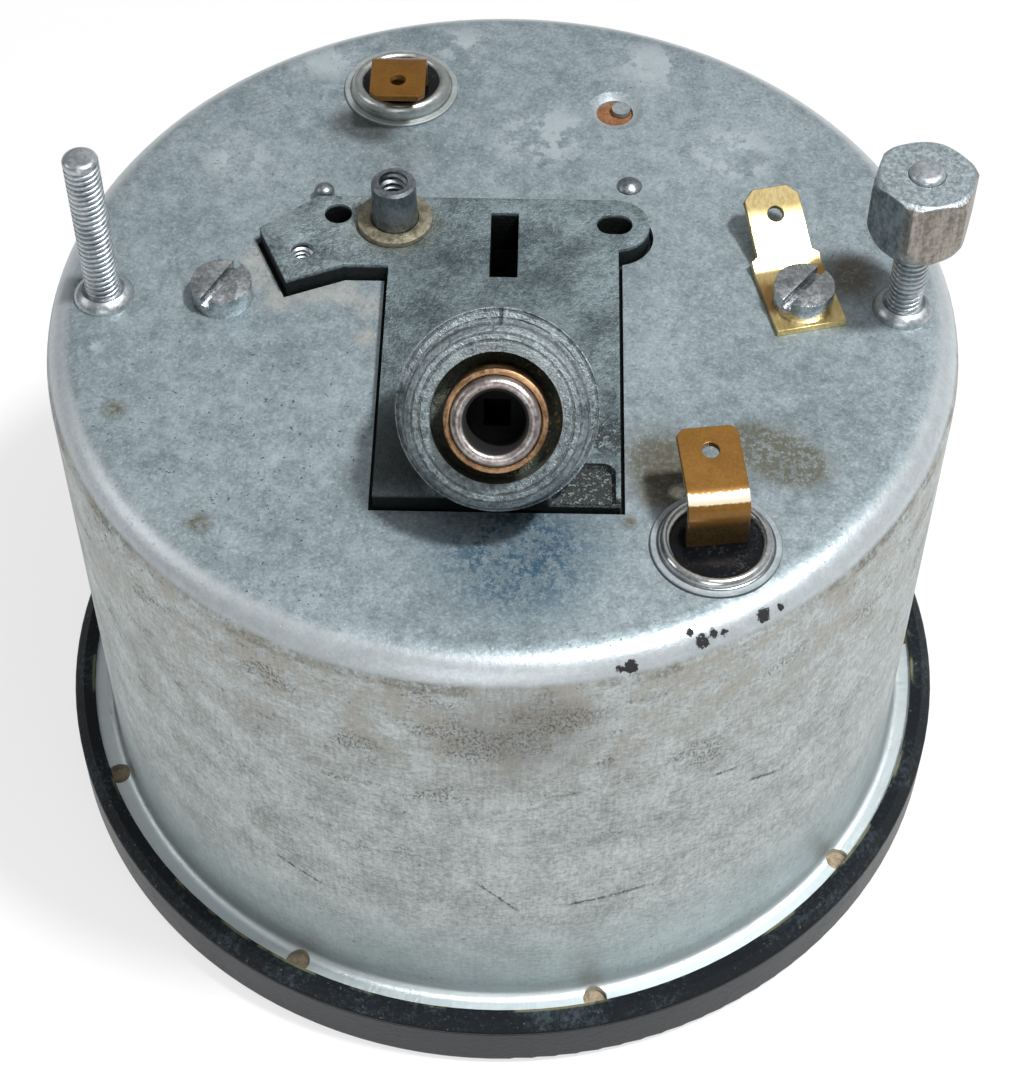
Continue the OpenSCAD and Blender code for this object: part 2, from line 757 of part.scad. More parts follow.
module yoke() {
    for (x = [-yoke_half, yoke_half - yoke_wall])
        translate([x, -yoke_depth / 2, yoke_z]) cube([yoke_wall, yoke_depth, web_z - yoke_z + cut]);
    translate([-yoke_half, -yoke_depth / 2, yoke_z]) cube([2 * yoke_half, yoke_depth, yoke_t]);
    translate([0, 0, yoke_z]) cylinder(r = spindle_d / 2 + 2.6, h = yoke_t);
}

// Posts that carry the two ends of the cross shaft and the upper ends of the lay shafts
module train_posts() {
    for (y = [cross_near_y - post_t, cross_far_y])
        translate([cross_x - post_w / 2, y, worm_z - post_w / 2])
            cube([post_w, post_t, web_z - worm_z + post_w / 2 + cut]);
    for (y = [odometer_lay_y, trip_lay_y])
        translate([lay_x, y, lay_top_z]) cylinder(d = post_w, h = web_z - lay_top_z + cut);
}

module pocket_outline() {
    width = pad_half - pocket_wall - pocket_left;
    translate([pocket_left, pad_near - cut]) {
        square([width, pocket_l - pocket_r + cut]);
        translate([pocket_r, 0]) square([width - 2 * pocket_r, pocket_l + cut]);
        for (x = [pocket_r, width - pocket_r]) translate([x, pocket_l - pocket_r + cut]) circle(pocket_r);
    }
}

module movement_frame() {
    color("dimgray") difference() {
        union() {
            difference() {
                translate([0, 0, web_z]) linear_extrude(pad_z - web_z) pad_outline(0);
                translate([0, 0, pad_z - pocket_depth]) linear_extrude(pocket_depth + cut) pocket_outline();
            }
            translate([0, 0, web_z]) linear_extrude(web_t) web_outline();
            on_drive(tube_t) cylinder(d = boss_d, h = collar_t - tube_t);
            on_drive(collar_t - collar_land) cylinder(d = boss_collar_d, h = collar_land);
            on_drive(collar_t - cut) cylinder(d = boss_d, h = boss_thread_l + cut - boss_chamfer);
            on_drive(boss_end_t - boss_chamfer)
                cylinder(d1 = boss_d, d2 = boss_d - 2 * boss_chamfer, h = boss_chamfer);
            yoke();
            train_posts();
        }
        on_drive(tube_t - cut) cylinder(d = bush_d, h = boss_end_t - tube_t + 2 * cut);
        on_drive(boss_end_t - cup_depth) cylinder(d = cup_d, h = cup_depth + cut);
        on_drive(0) cylinder(d = stem_d + 2 * stem_gap, h = tube_t);
        for (p = [upper_lamp_at, lower_lamp_at]) translate([p[0], p[1], web_z - cut])
            cylinder(d = lamp_tube_d + lamp_hole_gap, h = web_t + cut);
        translate([0, 0, yoke_z - cut]) cylinder(r = spindle_bush_r, h = yoke_t + 2 * cut);
        translate([slot_at[0] - slot_size[0] / 2, slot_at[1] - slot_size[1] / 2, web_z - cut])
            cube([slot_size[0], slot_size[1], pad_z - web_z + 2 * cut]);
        translate([0, 0, web_z - cut]) linear_extrude(pad_z - web_z + 2 * cut) {
            translate(tapped_at) circle(d = tapping_d);
            translate(dowel_at) circle(d = dowel_d);
            translate(reset_at) circle(reset_d / 2 + bush_wall);
            for (k = [-0.5, 0.5]) translate([lug_at[0] + k, lug_at[1]]) circle(lug_hole_r);
            translate([lug_at[0] - 0.5, lug_at[1] - lug_hole_r]) square([1, 2 * lug_hole_r]);
        }
        for (x = screw_xs) translate([x, 0, web_z - cut]) cylinder(d = screw_d, h = web_t + 2 * cut);
        for (p = rivet_ats) translate([p[0], p[1], inner_back_z - rivet_grip])
            cylinder(d = rivet_shank_d, h = rivet_grip + cut);
        translate([arbor_at[0], arbor_at[1], web_z - cut])
            cylinder(r = arbor_d / 2 + run_gap, h = arbor_grip + 0.2 + cut);
        translate([cross_x, 0, worm_z])
            bar_y(small_r + run_gap, cross_near_y - 2 * post_t, cross_far_y + 2 * post_t);
        for (y = [odometer_lay_y, trip_lay_y])
            translate([lay_x, y, lay_top_z - cut]) cylinder(r = small_r + run_gap, h = 5);
    }
}

module frame_pillars() {
    color("silver") for (x = screw_xs) translate([x, 0, plate_back_z]) difference() {
        cylinder(r = pillar_r, h = web_z - plate_back_z);
        translate([0, 0, -cut]) cylinder(d = tapping_d, h = plate_screw_l + 2 * cut);
    }
}

// Drive line

module drive_bush() {
    color("darkgoldenrod") on_drive(tube_t) ring(bush_d / 2, shaft_d / 2 + run_gap, bush_end_t - tube_t);
}

module drive_shaft() {
    nose_round = 0.6;
    color("gray") difference() {
        union() {
            on_drive(tube_t + 0.2) cylinder(d = shaft_d, h = nose_t - tube_t - 0.2 - nose_round);
            on_drive(nose_t - nose_round) rotate_extrude() {
                square([shaft_d / 2 - nose_round, nose_round]);
                intersection() {
                    translate([shaft_d / 2 - nose_round, 0]) circle(nose_round);
                    square([shaft_d, shaft_d]);
                }
            }
            on_drive(bevel_cone * cos(bevel_angle)) cylinder(d = stem_d, h = tube_t);
        }
        on_drive(nose_t - socket_depth) cylinder(d = socket_d, h = socket_depth + cut);
        on_drive(nose_t - 2 * socket_depth) translate([-square_w / 2, -square_w / 2, 0])
            cube([square_w, square_w, 2 * socket_depth]);
    }
}

module drive_bevel() {
    turn = -90 + 180 / bevel_teeth + mesh_turn;
    color("goldenrod") on_drive(0) bevel_gear(bevel_teeth, bevel_angle, bevel_cone, bevel_face,
        bevel_add, bevel_ded, stem_d / 2, bevel_hub_t, turn);
}

module spindle_bevel() {
    turn = 90 - mesh_turn;
    color("goldenrod") translate([0, 0, apex_z]) rotate([180, 0, 0])
        bevel_gear(bevel_teeth, bevel_angle, bevel_cone, bevel_face, bevel_add, bevel_ded,
            spindle_d / 2, bevel_hub_t, turn);
}

module spindle_bush() {
    color("darkgoldenrod") translate([0, 0, yoke_z])
        ring(spindle_bush_r, spindle_d / 2 + run_gap, yoke_t);
}

module spindle() {
    top_z = apex_z - bevel_cone * cos(bevel_angle);
    color("silver") difference() {
        union() {
            translate([0, 0, magnet_z]) cylinder(d = spindle_d, h = flux_z + flux_t - magnet_z);
            translate([0, 0, flux_z]) cylinder(r = core_r, h = yoke_z - flux_z);
            translate([0, 0, worm_z]) worm(0);
            translate([0, 0, yoke_z]) cylinder(d = spindle_d, h = top_z - yoke_z);
        }
        translate([0, 0, magnet_z - cut]) cylinder(r = staff_d / 2 + run_gap, h = magnet_t);
    }
}

// Speed movement

module magnet() {
    color("#3a3f44") translate([0, 0, magnet_z]) ring(magnet_d / 2, spindle_d / 2, magnet_t);
}

module flux_ring() {
    color("slategray") {
        translate([0, 0, cup_z]) ring(flux_r + flux_t, flux_r, flux_z - cup_z + flux_t);
        translate([0, 0, flux_z]) ring(flux_r + cut, spindle_d / 2, flux_t);
    }
}

module speed_cup() {
    color("gainsboro") translate([0, 0, cup_z]) {
        ring(speed_cup_r + speed_cup_t, staff_d / 2, speed_cup_t);
        ring(speed_cup_r + speed_cup_t, speed_cup_r, magnet_t + speed_cup_t + air_gap - 0.8);
    }
}

module cup_staff() {
    color("silver") translate([0, 0, pointer_z - 0.4])
        cylinder(d = staff_d, h = magnet_z + magnet_t - 1.5 - pointer_z);
}

module staff_bush() {
    color("darkgoldenrod") translate([0, 0, plate_z])
        ring(staff_bush_r, staff_d / 2 + run_gap, plate_t);
}

module hairspring() {
    steps = 20 * spring_turns;
    path = [for (i = [0 : steps]) [spring_in_r + spring_pitch * i / 20, i * 18]];
    color("#8a6d2f") translate([0, 0, spring_z]) {
        linear_extrude(spring_h) polygon(concat([for (p = path) polar(p[0], p[1])],
            [for (i = [steps : -1 : 0]) polar(path[i][0] + spring_w, path[i][1])]));
        ring(spring_in_r + 0.15, staff_d / 2, spring_h);
    }
}

module pointer() {
    tail = 11;
    hub_r = 3;
    color("orangered") rotate([0, 0, -sweep / 2]) translate([0, 0, pointer_z]) difference() {
        union() {
            linear_extrude(pointer_t) polygon([[-1.4, -tail], [1.4, -tail], [0.9, 0], [0.35, pointer_l],
                [-0.35, pointer_l], [-0.9, 0]]);
            cylinder(r = hub_r, h = pointer_t);
        }
        translate([0, 0, -cut]) cylinder(d = staff_d, h = pointer_t + 2 * cut);
    }
}

module pointer_cap() {
    color("#1b1b1b") translate([0, 0, pointer_z - 1.4]) difference() {
        cylinder(r = 4.6, h = 1.4);
        translate([0, 0, 1]) cylinder(d = staff_d, h = 1);
    }
}

// Dial and front plate

module front_plate() {
    anchor_r = 0.6;
    color("darkkhaki") translate([0, 0, plate_z]) {
        linear_extrude(plate_t) difference() {
            intersection() {
                circle(dial_r - 4);
                translate([-case_r, odometer_y - 10]) square([case_d, trip_y - odometer_y + 18]);
            }
            circle(staff_bush_r);
            for (x = concat(screw_xs, post_xs)) translate([x, 0]) circle(d = tapping_d);
            for (y = [odometer_lay_y, trip_lay_y]) translate([lay_x, y]) circle(small_r + run_gap);
            translate(arbor_at) circle(arbor_d / 2 + run_gap);
        }
        translate([spring_in_r + spring_pitch * spring_turns + spring_w + anchor_r, 0, 0])
            cylinder(r = anchor_r, h = spring_z + spring_h - plate_z);
    }
}

module plate_screws() {
    color("gray") for (x = screw_xs) translate([x, 0, plate_z]) rotate([180, 0, 0]) {
        slotted_head(plate_head_d, 0.64 * tapping_d, plate_slot_turn);
        translate([0, 0, -plate_t - plate_screw_l])
            cylinder(d = tapping_d, h = plate_t + plate_screw_l + 0.1);
    }
}

module dial() {
    windows = [[odometer_y, odometer_drums], [trip_y, trip_drums]];
    color("#101214") translate([0, 0, dial_z]) linear_extrude(dial_t) difference() {
        circle(dial_r);
        circle(staff_hole_r);
        for (w = windows) translate([drum_x(0, w[1]) - drum_pitch / 2, w[0] - window_h / 2])
            square([w[1] * drum_pitch, window_h]);
        for (x = post_xs) translate([x, 0]) circle(d = dial_screw_d);
    }
}

module dial_posts() {
    color("silver") for (x = post_xs) translate([x, 0, dial_z + dial_t]) {
        ring(post_r, dial_screw_d / 2, plate_z - dial_z - dial_t);
        translate([0, 0, plate_z - dial_z - dial_t - plate_t]) cylinder(d = tapping_d, h = 2 * plate_t);
    }
}

module dial_screws() {
    color("gray") for (x = post_xs) translate([x, 0, dial_z]) rotate([180, 0, 0]) {
        slotted_head(1.9 * dial_screw_d, 0.6 * dial_screw_d, dial_slot_turn);
        translate([0, 0, -dial_t - dial_screw_l])
            cylinder(d = dial_screw_d, h = dial_t + dial_screw_l + 0.1);
    }
}

// Counter train

module cross_shaft() {
    color("silver") translate([cross_x, 0, worm_z]) {
        bar_y(small_r, cross_near_y - post_t, cross_far_y + post_t);
        rotate([-90, 0, 0]) worm_wheel(180);
        for (y = [odometer_lay_y, trip_lay_y]) translate([0, y, 0]) rotate([-90, 0, 0]) worm(0);
    }
}

module layshaft(y, side) {
    color("goldenrod") translate([lay_x, y, 0]) {
        translate([0, 0, lay_low_z]) cylinder(r = small_r, h = lay_top_z + 2 - lay_low_z);
        translate([0, 0, worm_z]) worm_wheel(180);
        translate([0, 0, drum_z]) worm(side);
    }
}

module odometer_layshaft() layshaft(odometer_lay_y, -90);

module trip_layshaft() layshaft(trip_lay_y, 90);

function drum_x(i, drums) = (i - (drums - 1) / 2) * drum_pitch;

module drum(i, drums, y, shaft_gap) {
    rim = 1;
    color("#15171a") translate([drum_x(i, drums) - drum_w / 2, y, drum_z]) rotate([0, 90, 0]) {
        ring(drum_r, drum_r - rim, drum_w);
        translate([0, 0, 1]) ring(drum_r - rim / 2, small_r + shaft_gap, 0.8);
        ring(small_r + 1.2, small_r + shaft_gap, drum_w);
    }
}

// Bracket of two cheeks on a foot, screwed under the front plate
module counter_frame(y) {
    foot_t = 0.7;
    half = 3.6;
    color("darkkhaki") translate([0, y, 0]) difference() {
        union() {
            for (x = [cheek_left_x, cheek_right_x])
                translate([x, -half, drum_z - 3]) cube([cheek_t, 2 * half, plate_z - drum_z + 3]);
            translate([cheek_left_x, -half, plate_z - foot_t])
                cube([cheek_right_x + cheek_t - cheek_left_x, 2 * half, foot_t]);
        }
        translate([0, 0, drum_z])
            bar_x(small_r + run_gap, cheek_left_x - cut, cheek_right_x + cheek_t + cut);
    }
}

// Counter shaft with its worm wheel, whose tooth faces the lay shaft
module counter_shaft(y, side, left) {
    color("silver") translate([0, y, drum_z]) {
        bar_x(small_r, left, cheek_right_x + cheek_t + 0.6);
        translate([lay_x, 0, 0]) rotate([0, 90, 0]) worm_wheel(side);
    }
}

module odometer_frame() counter_frame(odometer_y);

module odometer_shaft() counter_shaft(odometer_y, 90, cheek_left_x - 0.6);

module trip_frame() counter_frame(trip_y);

module trip_shaft() counter_shaft(trip_y, -90, arbor_x + reset_cone * cos(45) - 0.4);

module odometer_drum_1() drum(0, odometer_drums, odometer_y, 0);

module odometer_drum_2() drum(1, odometer_drums, odometer_y, run_gap);

module odometer_drum_3() drum(2, odometer_drums, odometer_y, run_gap);

module odometer_drum_4() drum(3, odometer_drums, odometer_y, run_gap);

module odometer_drum_5() drum(4, odometer_drums, odometer_y, run_gap);

module trip_drum_1() drum(0, trip_drums, trip_y, 0);

module trip_drum_2() drum(1, trip_drums, trip_y, run_gap);

module trip_drum_3() drum(2, trip_drums, trip_y, run_gap);

// Trip reset

module reset_bush() {
    color("tan") translate([reset_at[0], reset_at[1], web_z]) {
        ring(reset_d / 2 + bush_wall, reset_d / 2 + run_gap, pad_z - web_z + cut);
        translate([0, 0, pad_z - web_z]) ring(reset_flange_d / 2, reset_d / 2 + run_gap, reset_flange_t);
    }
}

module reset_gear(turn) {
    rotate([0, 0, turn]) linear_extrude(reset_gear_h)
        polygon(gear_points(reset_teeth, reset_gear_r, reset_add, reset_ded, 0.4));
}

module reset_bevel(bore, turn) {
    bevel_gear(reset_bevel_teeth, 45, reset_cone, reset_face, reset_add - 0.1, reset_ded - 0.1,
        bore, reset_hub_t, turn);
}

module reset_spindle() {
    towards = atan2(arbor_at[1] - reset_at[1], arbor_at[0] - reset_at[0]);
    length = pad_z + reset_h - reset_gear_z;
    taper = reset_h - reset_flange_t - reset_tip;
    color("gray") translate([reset_at[0], reset_at[1], reset_gear_z]) difference() {
        union() {
            cylinder(d = reset_d, h = length - reset_tip - taper);
            translate([0, 0, length - reset_tip - taper])
                cylinder(d1 = reset_d, d2 = reset_top_d, h = taper);
            translate([0, 0, length - reset_tip])
                cylinder(d1 = reset_top_d, d2 = reset_top_d - 2 * reset_tip, h = reset_tip);
            reset_gear(towards);
        }
        translate([0, 0, length - reset_hole_l]) cylinder(d = reset_hole_d, h = reset_hole_l + cut);
    }
}

module reset_arbor() {
    towards = atan2(reset_at[1] - arbor_at[1], reset_at[0] - arbor_at[0]);
    low_z = drum_z + reset_cone * cos(45) - 0.4;
    color("gray") translate([arbor_at[0], arbor_at[1], 0]) {
        translate([0, 0, low_z]) cylinder(d = arbor_d, h = web_z + arbor_grip - low_z);
        translate([0, 0, reset_gear_z]) reset_gear(towards + 180 / reset_teeth);
        translate([0, 0, drum_z]) reset_bevel(arbor_d / 2 - 0.2, 0);
    }
}

module reset_wheel() {
    color("goldenrod") translate([arbor_at[0], arbor_at[1], drum_z]) rotate([0, 90, 0])
        reset_bevel(small_r + run_gap, 180 + 180 / reset_bevel_teeth);
}

case();
bezel();
lens();
lens_seal();
rim_gasket();
mounting_studs();
stud_nut();
frame_screws();
earth_terminal();
lamp_sleeves();
lamp_insulators();
upper_lamp_tab();
lower_lamp_tab();
lamp_caps();
lamp_bulbs();
case_rivets();
sight_disc();
movement_frame();
drive_bush();
drive_shaft();
drive_bevel();
spindle_bush();
spindle();
spindle_bevel();
magnet();
flux_ring();
speed_cup();
cup_staff();
staff_bush();
hairspring();
pointer();
pointer_cap();
frame_pillars();
front_plate();
plate_screws();
dial();
dial_posts();
dial_screws();
cross_shaft();
odometer_layshaft();
trip_layshaft();
odometer_frame();
odometer_shaft();
odometer_drum_1();
odometer_drum_2();
odometer_drum_3();
odometer_drum_4();
odometer_drum_5();
trip_frame();
trip_shaft();
trip_drum_1();
trip_drum_2();
trip_drum_3();
reset_bush();
reset_spindle();
reset_arbor();
reset_wheel();
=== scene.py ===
import json
import math

import bmesh
import bpy
from mathutils import Matrix, Vector

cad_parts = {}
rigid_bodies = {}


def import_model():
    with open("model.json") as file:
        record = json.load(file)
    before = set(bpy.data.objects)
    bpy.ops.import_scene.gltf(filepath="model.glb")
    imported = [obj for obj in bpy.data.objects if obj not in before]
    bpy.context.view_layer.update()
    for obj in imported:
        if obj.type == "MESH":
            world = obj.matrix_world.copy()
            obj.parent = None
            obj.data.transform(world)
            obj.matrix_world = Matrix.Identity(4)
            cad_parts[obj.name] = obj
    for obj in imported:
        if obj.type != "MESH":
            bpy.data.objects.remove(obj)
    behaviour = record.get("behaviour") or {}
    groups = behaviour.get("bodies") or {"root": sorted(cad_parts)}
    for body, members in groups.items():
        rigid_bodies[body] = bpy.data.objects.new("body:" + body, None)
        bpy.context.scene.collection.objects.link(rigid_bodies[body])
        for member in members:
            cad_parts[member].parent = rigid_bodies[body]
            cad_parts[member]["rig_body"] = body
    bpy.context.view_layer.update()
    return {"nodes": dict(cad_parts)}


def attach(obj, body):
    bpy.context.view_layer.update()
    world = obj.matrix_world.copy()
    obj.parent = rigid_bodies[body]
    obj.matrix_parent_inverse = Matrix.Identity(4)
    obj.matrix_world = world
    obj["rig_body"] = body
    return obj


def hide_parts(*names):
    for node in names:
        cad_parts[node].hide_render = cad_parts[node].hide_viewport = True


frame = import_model()
nodes = frame["nodes"]
scene = bpy.context.scene
scene.view_settings.view_transform = "Standard"
mm = 0.001
print("frame:", len(nodes), "nodes")

# heights and places that the solids share, in millimetres
layout = {
    "caseR": 50.0, "backZ": 71.5, "plateZ": 73.5, "apexZ": 59.3, "driveTilt": 42.0, "noseT": 42.6,
    "studX": 43.6, "resetAt": (-12.2, 10.1), "tappedAt": (-22.2, 5.4), "sightAt": (12.42, 31.22),
    "lamps": [(-12.73, 34.42), (22.19, -33.40)],
    "drumZ": 18.6, "dialZ": 11.2, "odometerY": -20.0, "tripY": 17.0,
}
tilt = math.radians(layout["driveTilt"])
driveDir = Vector((0, -math.cos(tilt), math.sin(tilt)))
driveFrame = Matrix.Translation((0, 0, layout["apexZ"])) @ Matrix.Rotation(math.radians(90) - tilt, 4, "X")


class Wire:
    # a socket in a node tree; expressions on it add Math nodes
    def __init__(self, tree, socket=None):
        self.tree, self.socket = tree, socket

    def make(self, kind, settings=None, inputs=None, out=0):
        node = self.tree.nodes.new(kind)
        for key, value in (settings or {}).items():
            setattr(node, key, value)
        for key, value in (inputs or {}).items():
            if isinstance(value, Wire):
                self.tree.links.new(value.socket, node.inputs[key])
            else:
                node.inputs[key].default_value = value
        return Wire(self.tree, node.outputs[out]) if node.outputs else None    # an output node has none

    def sum(self, operation, first, second=0.0):
        return self.make("ShaderNodeMath", {"operation": operation}, {0: first, 1: second})

    def vector(self, operation, other=(0.0, 0.0, 0.0), out=0):
        return self.make("ShaderNodeVectorMath", {"operation": operation}, {0: self, 1: other}, out)

    def capped(self, top=1.0):
        return self.sum("MINIMUM", self, top)

    def size(self):
        return self.sum("ABSOLUTE", self)

    def __add__(self, other): return self.sum("ADD", self, other)
    def __radd__(self, other): return self.sum("ADD", other, self)
    def __sub__(self, other): return self.sum("SUBTRACT", self, other)
    def __rsub__(self, other): return self.sum("SUBTRACT", other, self)
    def __mul__(self, other): return self.sum("MULTIPLY", self, other)
    def __rmul__(self, other): return self.sum("MULTIPLY", other, self)
    def __truediv__(self, other): return self.sum("DIVIDE", self, other)
    def __rtruediv__(self, other): return self.sum("DIVIDE", other, self)
    def __pow__(self, other): return self.sum("POWER", self, other)

    def step(self, low, high):
        # 0 below low and 1 above high, eased between; a low above high runs downwards
        return self.make("ShaderNodeMapRange", {"interpolation_type": "SMOOTHSTEP"},
                         {"Value": self, "From Min": low, "From Max": high})

    def stretch(self, x, y, z):
        return self.vector("MULTIPLY", (x, y, z))

    def parts(self):
        split = self.make("ShaderNodeSeparateXYZ", None, {0: self})
        return [Wire(self.tree, split.socket.node.outputs[i]) for i in range(3)]

    def noise(self, scale, detail=4.0, rough=0.6, seed=0.0):
        return self.make("ShaderNodeTexNoise", {"noise_dimensions": "4D"},
                         {"Vector": self, "W": seed, "Scale": scale, "Detail": detail, "Roughness": rough})

    def near(self, x, y, z, reach):
        # 1 at a point, fading to 0 at that reach in millimetres
        return self.vector("DISTANCE", (x, y, z), "Value").step(reach, 0.25 * reach)

    def tint(self, first, second):
        # this value as the share of the second colour
        pair = [c if isinstance(c, Wire) else (*c, 1.0) for c in (first, second)]
        return self.make("ShaderNodeMix", {"data_type": "RGBA"}, {0: self, 6: pair[0], 7: pair[1]}, out=2)


def newFinish(name, recipe):
    material = bpy.data.materials.new(name)
    material.use_nodes = True
    tree = material.node_tree
    shader = tree.nodes["Principled BSDF"]
    start = Wire(tree)
    spot = start.make("ShaderNodeTexCoord", out="Object")
    spot = spot.make("ShaderNodeVectorMath", {"operation": "SCALE"}, {0: spot, "Scale": 1 / mm})
    made = recipe(spot)
    bump = made.pop("bump", None)
    if bump:
        height, depth = bump
        relief = {"Height": height, "Distance": depth * mm, "Strength": 1.0}
        made["Normal"] = height.make("ShaderNodeBump", None, relief)
    for key, value in made.items():
        if isinstance(value, Wire):
            tree.links.new(value.socket, shader.inputs[key])
        else:
            shader.inputs[key].default_value = (*value, 1.0) if isinstance(value, tuple) else value
    return material


# Finishes

zinc = {
    "pale": (0.38, 0.445, 0.475), "deep": (0.13, 0.175, 0.195), "bloom": (0.48, 0.545, 0.58),
    "wall": (0.55, 0.595, 0.595), "wallDark": (0.225, 0.245, 0.24), "pepper": (0.15, 0.16, 0.155),
    "warm": (0.4, 0.375, 0.325), "cool": (0.36, 0.45, 0.46), "bare": (0.5, 0.48, 0.43),
    "olive": (0.075, 0.07, 0.045), "ink": (0.03, 0.085, 0.135), "brown": (0.11, 0.088, 0.064),
    "shade": (0.06, 0.066, 0.06), "sootAndShadow": (0.01, 0.01, 0.01), "pit": (0.075, 0.07, 0.055),
    "darkBand": (0.13, 0.115, 0.085), "sunk": (0.12, 0.14, 0.145), "foot": (0.66, 0.72, 0.74),
    # pale colour painted on the fillet as a highlight
    "rubbed": (0.72, 0.75, 0.77),
    # heights between which the wall's finish gives way to the back's
    "wallTop": 68.8, "filletFoot": 69.6,
    # place and reach of each mark, in millimetres
    "chips": [(13.57, -47.36, 69.81, 1.1), (12.5, -47.7, 69.9, 0.6), (20.66, -44.43, 70.15, 1.0),
              (19.35, -43.86, 71.0, 0.6), (21.7, -43.6, 70.5, 0.7), (22.75, -43.26, 70.27, 0.6),
              (26.8, -41.0, 70.16, 1.1), (28.6, -39.9, 70.1, 0.6)],
    "stains": [(16.6, -22.2, 6.0), (19.6, -25.2, 5.2), (28.4, -21.0, 5.4), (31.6, -22.8, 4.2),
               (25.8, -19.4, 3.2), (-40.6, -16.6, 1.7), (-30.2, -31.6, 1.8), (13.4, -30.6, 1.1)],
    # painted shadows of the nut, the left frame screw and the lower lamp tab, with brown stain in them; then
    # painted shadows beside the upper lamp tab
    "brownStainsAndShadows": [(38.3, 4.8, 5.0), (-31.6, -0.6, 3.0), (16.9, -22.5, 3.6), (17.1, -26.3, 4.4)],
    "shades": [(-18.3, 28.6, 3.8), (-15.6, 27.5, 3.8)],
    "blooms": [(4.0, 26.6, 8.0), (-21.5, 39.4, 5.0), (-31.0, 21.4, 5.0), (-6.1, 42.5, 4.6),
               (-44.6, -7.6, 2.6), (17.0, 39.5, 6.0), (26.0, 24.0, 7.0)],
    "bares": [(-27.6, 6.0, 2.2), (-26.4, 3.2, 2.4), (-24.4, 0.0, 2.6), (-21.0, 0.9, 2.6),
              (-17.6, 1.2, 2.8), (-14.6, -0.8, 2.6), (-14.6, -5.6, 2.0)],
    "inkSpot": (2.2, -34.6, 12.5), "speckled": (-26.0, -22.0, 24.0),
    # the same round the wall and up it
    "wornPatch": (-76.0, 61.5, 13.0), "brownPatch": (-75.0, 61.5, 11.0),
    # start and end of each scratch, round the wall and up it
    "scratches": [(-70.4, 26.9, -61.2, 27.6), (-80.5, 32.6, -75.5, 26.1), (-49.5, 41.2, -45.0, 39.4),
                  (-104.0, 27.0, -98.0, 25.0), (-54.6, 46.0, -51.2, 45.2)],
}


def onBack(spot, mark, spread=1.0):
    x, y, reach = mark
    return spot.near(x, y, layout["backZ"], spread * reach)


def onWall(wrapped, mark):
    around, up, reach = mark
    return wrapped.near(around, up, 0.0, reach)


def zincBack(spot, grain, marked):
    blot = grain["blot"]
    mottle = 0.22 * grain["cloud"] + 0.32 * grain["patch"] + 0.28 * grain["flake"] + 0.3 * grain["fine"]
    back = mottle.step(0.4, 0.72).tint(zinc["deep"], zinc["pale"])
    back = (0.4 * grain["fine"].step(0.58, 0.7)).tint(back, zinc["bloom"])
    drift = spot.noise(0.3, 5.0, 0.65, 31.0).step(0.48, 0.53)
    back = (0.65 * marked("blooms") * drift).tint(back, zinc["bloom"])
    back = (0.6 * marked("bares") * blot.step(0.34, 0.56)).tint(back, zinc["bare"])
    torn = blot.step(0.3, 0.56)
    # painted shadows: brown ones with stain in them, and grey ones beside the upper lamp tab
    back = (0.92 * marked("brownStainsAndShadows") * (0.45 + 0.55 * torn)).tint(back, zinc["brown"])
    back = (0.85 * marked("shades") * (0.6 + 0.4 * torn)).tint(back, zinc["shade"])
    cover = 0.25 + 0.75 * (0.5 * grain["patch"] + 0.5 * blot).step(0.46, 0.55)
    return (0.95 * onBack(spot, zinc["inkSpot"]) * cover).tint(back, zinc["ink"])


def zincWall(wrapped, z, fibre):
    brush = wrapped.stretch(0.08, 0.9, 1.0).noise(1.0, 4.0, 0.7, 9.0)
    tone = wrapped.noise(0.16, 6.0, 0.72, 19.0)
    drawn = wrapped.stretch(2.4, 0.3, 1.0).noise(1.0, 4.0, 0.75, 47.0)
    mottle = 0.42 * fibre + 0.1 * brush + 0.2 * drawn + 0.36 * tone
    wall = mottle.step(0.42, 0.655).tint(zinc["wallDark"], zinc["wall"])
    pepper = wrapped.stretch(1.4, 1.0, 1.0).noise(2.6, 3.0, 0.75, 51.0).step(0.55, 0.68)
    wall = (0.62 * pepper).tint(wall, zinc["pepper"])
    wall = (0.6 * z.step(44.0, 66.0) * tone.step(0.56, 0.4)).tint(wall, zinc["warm"])
    wall = (0.55 * z.step(28.0, 12.0)).tint(wall, zinc["cool"])
    return (0.55 * onWall(wrapped, zinc["brownPatch"]) * fibre.step(0.36, 0.56)).tint(wall, zinc["brown"])


def wallScratches(around, z, fibre, blot):
    marks = 0.0 * z
    for a0, z0, a1, z1 in zinc["scratches"]:
        run = (around - a0) * (1.0 / (a1 - a0))
        off = (z - z0) - run * (z1 - z0) + 1.4 * (fibre - 0.5)
        ends = run.step(-0.05, 0.1) * run.step(1.05, 0.85)
        marks = marks + off.size().step(0.4, 0.1) * ends * blot.step(0.42, 0.52)
    return marks


